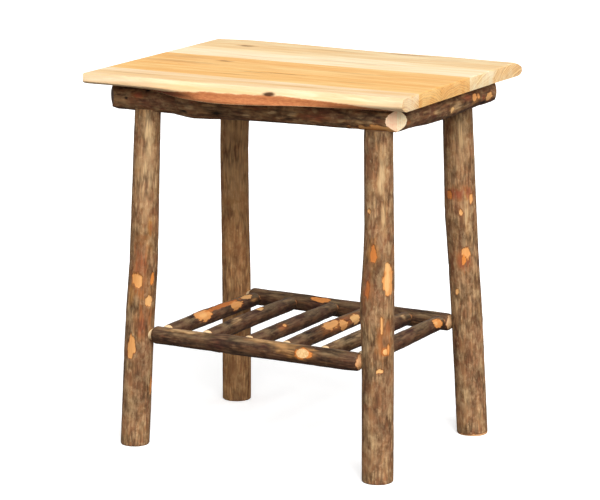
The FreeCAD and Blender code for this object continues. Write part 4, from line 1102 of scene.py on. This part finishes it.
def makeBoardWood(name):
    look = boardWoods[name]
    material, tree, shader = newMaterial(name)
    place = tree.nodes.new("ShaderNodeTexCoord").outputs["Object"]
    marks = []
    bend = 0.0
    for x, y, length, width, strength in look["marks"]:
        mark = placed(tree, woodMark, **{"Place": place, "Centre": (x, y, 0.66), "Length": length, "Width": width})
        marks.append((mark, strength))
        if strength > 1:
            bend = maths(tree, "ADD", bend, mark.outputs["Bend"])
    bent = vectorMaths(tree, "SUBTRACT", place, joined(tree, 0.0, bend, 0.0))  # the grain goes round a knot
    fibre = placed(tree, woodFibre, **{"Grain Co": bent, "Ring Width": 0.0055, "Stretch": 16.0, "Seed": look["seed"]})
    colour = mixed(tree, fibre.outputs["Streaks"], rgb(*look["base"]), rgb(*look["grain"]))
    colour = mixed(tree, maths(tree, "MULTIPLY", fibre.outputs["Rings"], 0.3), colour, rgb(*look["dark"]))
    colour = mixed(tree, maths(tree, "MULTIPLY", ramp(tree, fibre.outputs["Blotch"], 0.45, 0.75), 0.3), colour, rgb(*look["grain"]))
    colour = mixed(tree, maths(tree, "MULTIPLY", fibre.outputs["Pores"], 0.2), colour, rgb(*look["dark"]))
    for mark, strength in marks:
        colour = mixed(tree, maths(tree, "MULTIPLY", mark.outputs["Mask"], min(strength, 1) * 0.85), colour, rgb(*[c * 0.8 for c in look["dark"]]))
        if strength > 1:
            colour = mixed(tree, maths(tree, "MULTIPLY", mark.outputs["Heart"], strength - 0.95), colour, rgb(*edgeFinish["knot"]))
    # the natural edge: pale under the arris, a ragged band of inner bark below
    down = attribute(tree, "edgeDown")
    bandCo = joined(tree, maths(tree, "MULTIPLY", split(tree, place)[0], 0.25), split(tree, place)[1], split(tree, place)[2])
    ragged = maths(tree, "MULTIPLY", maths(tree, "SUBTRACT", noise(tree, bandCo, 240.0, 4.0, 0.65), 0.5), 0.7)
    band = ramp(tree, maths(tree, "ADD", attribute(tree, "innerBark"), ragged), 0.32, 0.62)
    colour = mixed(tree, maths(tree, "MULTIPLY", ramp(tree, down, 0.15, 0.6), 0.35), colour, rgb(*edgeFinish["peach"]))
    bark = mixed(tree, ramp(tree, noise(tree, bandCo, 420.0, 3.0, 0.6), 0.35, 0.65), rgb(*edgeFinish["innerBark"]), rgb(*edgeFinish["innerBarkLight"]))
    colour = mixed(tree, maths(tree, "MULTIPLY", band, 0.95), colour, bark)
    if name == "frontBoard":
        x = split(tree, place)[0]
        # a thin dark red line runs along the edge of the inner bark band; toward the left end it thickens and the whole
        # band darkens, painted shade on the bark there
        rim = maths(tree, "MULTIPLY", maths(tree, "MULTIPLY", band, maths(tree, "SUBTRACT", 1.0, band)), ramp(tree, x, -0.16, -0.09, 3.4, 0.8))
        colour = mixed(tree, rim, colour, rgb(*edgeFinish["line"]))
        colour = mixed(tree, maths(tree, "MULTIPLY", band, ramp(tree, x, -0.145, -0.085, 0.75, 0.0)), colour, rgb(*edgeFinish["line"]))
        u = maths(tree, "DIVIDE", maths(tree, "SUBTRACT", x, edgeFinish["knotPlace"]), edgeFinish["knotReach"])
        v = maths(tree, "DIVIDE", maths(tree, "SUBTRACT", down, edgeFinish["knotDown"]), edgeFinish["knotHeight"])
        away = maths(tree, "ADD", vectorMaths(tree, "LENGTH", joined(tree, u, v, 0.0)), ragged)
        onEdge = ramp(tree, down, 0.02, 0.08)
        colour = mixed(tree, maths(tree, "MULTIPLY", ramp(tree, away, 0.45, 1.25, 0.95, 0.0), onEdge), colour, rgb(*edgeFinish["knot"]))
    feed(tree, shader.inputs["Base Color"], colour)
    feed(tree, shader.inputs["Roughness"], ramp(tree, fibre.outputs["Rings"], 0.0, 1.0, 0.46, 0.58))
    shader.inputs["Specular IOR Level"].default_value = 0.14
    bumped(tree, shader, maths(tree, "ADD", maths(tree, "MULTIPLY", fibre.outputs["Pores"], -0.5), fibre.outputs["Rings"]), 0.12, 0.0003)
    return material


def makeBoardEnd(name):
    # end grain: arcs of growth across the board's thickness
    look = boardWoods[name]
    material, tree, shader = newMaterial(name + "End")
    place = tree.nodes.new("ShaderNodeTexCoord").outputs["Object"]
    x, y, z = split(tree, place)
    seed = look["seed"]
    heart = joined(tree, 0.0, maths(tree, "SUBTRACT", y, -0.26 + 0.033 * seed), maths(tree, "SUBTRACT", z, 0.56 - 0.004 * seed))
    sway = maths(tree, "MULTIPLY", noise(tree, place, 34.0, 2.0), 0.010)
    radius = maths(tree, "ADD", vectorMaths(tree, "LENGTH", heart), sway)
    rings = noise(tree, joined(tree, 0.0, 0.0, radius), 330.0, 2.0, 0.6)
    speck = noise(tree, place, 700.0, 3.0, 0.65)
    blotch = noise(tree, joined(tree, 0.0, y, z), 36.0, 3.0, 0.6)
    colour = mixed(tree, ramp(tree, rings, 0.4, 0.62), rgb(*[min(255, c * f) for c, f in zip(look["grain"], (1.03, 1.02, 0.98))]), rgb(*look["dark"]))
    colour = mixed(tree, ramp(tree, blotch, 0.36, 0.66, 0.1, 0.65), colour, rgb(*look["base"]))
    colour = mixed(tree, ramp(tree, speck, 0.5, 0.75, 0.0, 0.4), colour, rgb(*[c * 0.78 for c in look["dark"]]))
    feed(tree, shader.inputs["Base Color"], colour)
    feed(tree, shader.inputs["Roughness"], ramp(tree, speck, 0.2, 0.8, 0.42, 0.6))
    bumped(tree, shader, maths(tree, "ADD", speck, rings), 0.25, 0.0003)
    return material


woods = {name: makeBoardWood(name) for name in boardWoods}
woodEnds = {name: makeBoardEnd(name) for name in boardWoods}
# where the inner bark begins on the front edge: x along the table, share of the face from the top
innerBarkLine = [
    (-0.31, 1.4), (-0.22, 1.06), (-0.17, 0.98), (-0.135, 0.86), (-0.10, 0.72), (-0.05, 0.52),
    (0.10, 0.46), (0.19, 0.62), (0.26, 0.84), (0.31, 1.1),
]
boxes = {node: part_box(node) for node in boardPieces}
middleBox, frontMiddleBox = boxes["top_board_middle"], boxes["top_board_front_middle"]
skew = (middleBox[0].x - frontMiddleBox[0].x) / (middleBox[1].y - frontMiddleBox[1].y)
easing = 0.0016
# how far the bark hangs below the board along the front edge, at x
barkLip = [(-0.31, 0.0), (-0.23, 0.0015), (-0.17, 0.0036), (-0.12, 0.0052), (-0.06, 0.0046), (0.0, 0.0040), (0.06, 0.0025), (0.13, 0.0)]
backNose = {
    "from": 0.205, "over": 0.085, "reach": 0.2532, "lean": 0.0055,
    "down": (0, 0.07, 0.16, 0.28, 0.42, 0.6, 0.76, 0.88, 0.95, 1), "fullness": (0, 0.32, 0.6, 0.82, 0.95, 1, 0.97, 0.88, 0.79, 0.66),
}


def endPlace(side, y):
    # the sawn ends of the top lean a little, both the same way
    at = middleBox[0] if side < 0 else Vector((middleBox[1].x, middleBox[0].y, 0))
    known = middleBox[1].y if side < 0 else middleBox[0].y
    return at.x + skew * (y - known) - side * 0.0002


def edgeHeights(node, way, x, heights):
    points = cutAcross(node, 0, x)
    outer = points[points[:, 1] * way > 0.17]
    found = []
    for z in heights:
        near = outer[np.abs(outer[:, 2] - z) < 0.0004]
        found.append((near[:, 1] * way).max() if len(near) else np.nan)
    return found


def makeBoard(node, spec):
    low, high = boxes[node]
    under, top = low.z, high.z
    way = spec["waney"]
    stations = np.linspace(0, 1, 170)
    kneeZ = under + (top - under) * 0.44
    if way:
        joint = high.y if way < 0 else low.y
        reach = np.array([edgeHeights(node, way, x, (under, kneeZ, top)) for x in np.linspace(low.x + 0.012, high.x - 0.012, 61)])
        samples = np.linspace(low.x + 0.012, high.x - 0.012, 61)
        for column in range(3):
            line = reach[:, column]
            good = ~np.isnan(line)
            line = np.interp(samples, samples[good], line[good])
            padded = np.concatenate([np.full(3, line[0]), line, np.full(3, line[-1])])
            reach[:, column] = np.convolve(padded, [0.06, 0.12, 0.2, 0.24, 0.2, 0.12, 0.06], "valid")
    points, faces = [], []
    for share in stations:
        ring = []
        if way:
            x0 = low.x + (high.x - low.x) * share
            rim, knee, arris = [np.interp(x0, samples, reach[:, c]) for c in range(3)]
            swell = 0.0
            droop = float(np.interp(x0, *zip(*barkLip))) if way < 0 else 0.0
            if way > 0:  # the back edge swells into a round nose at its right end
                swell = min(1.0, max(0.0, (x0 - backNose["from"]) / backNose["over"]))
                swell = swell ** 2 * (3 - 2 * swell)
            wave = 0.0004 * math.sin(x0 * 61 + 1.0) + 0.0003 * math.sin(x0 * 147)
            tops = [(joint, top)] + [(joint + (way * (arris - easing) - joint) * t, top) for t in np.linspace(0.08, 1, 14)]
            face = []
            for t in np.linspace(0, 1, 15):
                z = (top - easing * 0.6) + (under + 0.0006 - droop - top + easing * 0.6) * t
                if z > kneeZ:
                    mix = (top - z) / (top - kneeZ)
                    y = arris + (knee - arris) * mix
                else:
                    mix = min(1.0, (kneeZ - z) / (kneeZ - under))
                    y = knee + (rim - knee) * (mix ** 2.4 if way < 0 else mix)
                blunt = np.interp(t, backNose["down"], backNose["fullness"])
                y += (backNose["reach"] - y) * blunt * swell
                belly = math.sin(math.pi * t) * 0.0012 * (1 - swell)
                face.append((way * (y - 0.0009 + belly + wave * math.sin(math.pi * t)), z))
            bottoms = [(way * (rim - 0.0012), under - droop), (way * (rim - 0.0012 - droop * 1.2), under)]
            bottoms += [(joint + (way * (rim - 0.01) - joint) * t, under) for t in (0.75, 0.5, 0.25)] + [(joint, under)]
            face0 = face
            ring = tops + face + bottoms
        else:
            hair = 0.0003
            ring = [(low.y, top - hair)] + [(low.y + hair + (high.y - low.y - 2 * hair) * t, top) for t in np.linspace(0, 1, 16)]
            ring += [(high.y, top - hair), (high.y, under + 0.004), (high.y, under)]
            ring += [(low.y + (high.y - low.y) * t, under) for t in (0.75, 0.5, 0.25)] + [(low.y, under), (low.y, under + 0.004)]
        points.append(ring)
    count = len(points[0])
    rings = []
    for index, share in enumerate(stations):
        middle = np.array(points[index]).mean(0)
        ring = []
        for y, z in points[index]:
            left, right = endPlace(-1, y), endPlace(1, y)
            if way > 0:
                right += backNose["lean"] * min(1.0, (top - z) / 0.009) * max(0.0, (y - low.y) / (high.y - low.y)) ** 1.5
            ring.append((left + (right - left) * share, y, z))
        rings.append(ring)
    # ease the end arrises: the last rings draw in along a quarter round
    eased = []
    for side, ring in ((0, rings[0]), (1, rings[-1])):
        inner = []
        for step in (0.0, 0.35, 0.7, 1.0):
            turned = []
            drop = easing * (1 - math.sqrt(max(0.0, 1 - (1 - step) ** 2)))
            for x, y, z in ring:
                lowered = min(z, top - drop)
                if way and y * way > 0.17:
                    lowered = min(z, top - drop)
                turned.append((x + (1 if side == 0 else -1) * easing * step, y, lowered))
            inner.append(turned)
        eased.append(inner)
    rings = eased[0] + rings[1:-1] + eased[1][::-1]
    mesh = bpy.data.meshes.new(spec["name"])
    allPoints = [p for ring in rings for p in ring]
    for r in range(len(rings) - 1):
        for c in range(count):
            a, b = r * count + c, r * count + (c + 1) % count
            faces.append((a, b, b + count, a + count))
    faces.append(tuple(range(count))[::-1])
    last = (len(rings) - 1) * count
    faces.append(tuple(range(last, last + count)))
    mesh.from_pydata(allPoints, [], faces)
    mesh.materials.append(woods[spec["wood"]])
    mesh.materials.append(woodEnds[spec["wood"]])
    for face in mesh.polygons[-2:]:
        face.material_index = 1
    edgeDown = np.zeros(len(allPoints))
    innerBark = np.zeros(len(allPoints))
    if way:
        for index, (x, y, z) in enumerate(allPoints):
            if index % count >= len(tops):
                share = max(0.0, (top - z) / (top - under)) if index % count < len(tops) + len(face0) else 1.0
                edgeDown[index] = share
                line = innerBarkLine if way < 0 else [(-1, 0.9), (1, 0.9)]
                start = np.interp(x, [p[0] for p in line], [p[1] for p in line])
                innerBark[index] = min(1.0, max(0.0, 0.5 + (share - start) / 0.3)) if index % count < len(tops) + len(face0) else 0.0
    for label, values in (("edgeDown", edgeDown), ("innerBark", innerBark)):
        mesh.attributes.new(label, "FLOAT", "POINT").data.foreach_set("value", values.astype(np.float32))
    work = bmesh.new()
    work.from_mesh(mesh)
    bmesh.ops.remove_doubles(work, verts=work.verts[:], dist=1e-6)  # the lip's points meet where nothing hangs down
    bmesh.ops.recalc_face_normals(work, faces=work.faces[:])
    work.to_mesh(mesh)
    work.free()
    piece = bpy.data.objects.new(spec["name"], mesh)
    bpy.context.scene.collection.objects.link(piece)
    return piece


for node, spec in boardPieces.items():
    piece = makeBoard(node, spec)
    finishPiece(piece, [node], angle=30)
print("top glued up")

# the splines, hidden in the mitres, keep their solid shape
splineWood = {"light": (222, 184, 134), "dark": (188, 144, 96)}


def dressSplines():
    material, tree, shader = newMaterial("splineWood")
    place = tree.nodes.new("ShaderNodeTexCoord").outputs["Object"]
    fibre = placed(tree, woodFibre, **{"Grain Co": place, "Ring Width": 0.003, "Seed": 21.0})
    feed(tree, shader.inputs["Base Color"], mixed(tree, fibre.outputs["Streaks"], rgb(*splineWood["light"]), rgb(*splineWood["dark"])))
    feed(tree, shader.inputs["Roughness"], ramp(tree, fibre.outputs["Rings"], 0.0, 1.0, 0.55, 0.7))
    bumped(tree, shader, fibre.outputs["Pores"], 0.2, 0.0003)
    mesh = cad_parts["corner_splines"].data
    mesh.materials.clear()
    mesh.materials.append(material)


dressSplines()

# floor, light and camera
studio = {"floor": (247, 247, 247), "shade": (118, 118, 118), "glow": 0.42, "worldStrength": 0.5}


def makeStudio():
    mesh = bpy.data.meshes.new("floor")
    size = 40.0
    mesh.from_pydata([(-size, -size, 0), (size, -size, 0), (size, size, 0), (-size, size, 0)], [], [(0, 1, 2, 3)])
    floor = bpy.data.objects.new("floor", mesh)
    bpy.context.scene.collection.objects.link(floor)
    material, tree, shader = newMaterial("floorPaper")
    place = tree.nodes.new("ShaderNodeTexCoord").outputs["Object"]
    faint = noise(tree, place, 3.0, 2.0)
    seen = tree.nodes.new("ShaderNodeLightPath").outputs["Is Camera Ray"]
    paper = mixed(tree, faint, rgb(*studio["floor"]), rgb(250, 250, 250))
    feed(tree, shader.inputs["Base Color"], mixed(tree, seen, rgb(*studio["shade"]), paper))
    shader.inputs["Roughness"].default_value = 0.9
    shader.inputs["Specular IOR Level"].default_value = 0.0
    shader.inputs["Emission Color"].default_value = (1, 1, 1, 1)
    feed(tree, shader.inputs["Emission Strength"], maths(tree, "MULTIPLY", seen, studio["glow"]))
    mesh.materials.append(material)
    world = bpy.data.worlds.new("studio")
    world.use_nodes = True
    world.node_tree.nodes["Background"].inputs[0].default_value = (1, 1, 1, 1)
    world.node_tree.nodes["Background"].inputs[1].default_value = studio["worldStrength"]
    bpy.context.scene.world = world


lights = {
    "keyLight": {"turn": 42, "lift": 39, "spread": 40, "strength": 3.08},
    "fillLight": {"turn": 58, "lift": 7, "spread": 60, "strength": 0.8},
}


def makeLights():
    for name, look in lights.items():
        data = bpy.data.lights.new(name, "SUN")
        data.angle = math.radians(look["spread"])
        data.energy = look["strength"]
        lamp = bpy.data.objects.new(name, data)
        bpy.context.scene.collection.objects.link(lamp)
        turn, lift = math.radians(look["turn"]), math.radians(look["lift"])
        toLamp = Vector((math.sin(turn) * math.cos(lift), -math.cos(turn) * math.cos(lift), math.sin(lift)))
        lamp.location = toLamp * 3
        lamp.rotation_mode = "QUATERNION"
        lamp.rotation_quaternion = (-toLamp).to_track_quat("-Z", "Y")


cameraSpot = {"turn": 29.28, "lift": 12.11, "distance": 5.301, "aside": -0.00706, "up": 0.00911, "lens": 182.04}


def makeCamera():
    turn, lift = math.radians(cameraSpot["turn"]), math.radians(cameraSpot["lift"])
    back = Vector((math.sin(turn) * math.cos(lift), -math.cos(turn) * math.cos(lift), math.sin(lift)))
    right = Vector((math.cos(turn), math.sin(turn), 0))
    up = back.cross(right)
    data = bpy.data.cameras.new("camera")
    data.lens = cameraSpot["lens"]
    data.sensor_width = 36
    data.clip_end = 200
    camera = bpy.data.objects.new("camera", data)
    bpy.context.scene.collection.objects.link(camera)
    look = Vector((0.0065, 0, 0.33))
    camera.location = look + back * cameraSpot["distance"] + right * cameraSpot["aside"] + up * cameraSpot["up"]
    camera.rotation_mode = "QUATERNION"
    camera.rotation_quaternion = (-back).to_track_quat("-Z", "Y")
    bpy.context.scene.camera = camera


makeStudio()
makeLights()
makeCamera()
bpy.context.scene.view_settings.view_transform = "Standard"
print("studio lit")
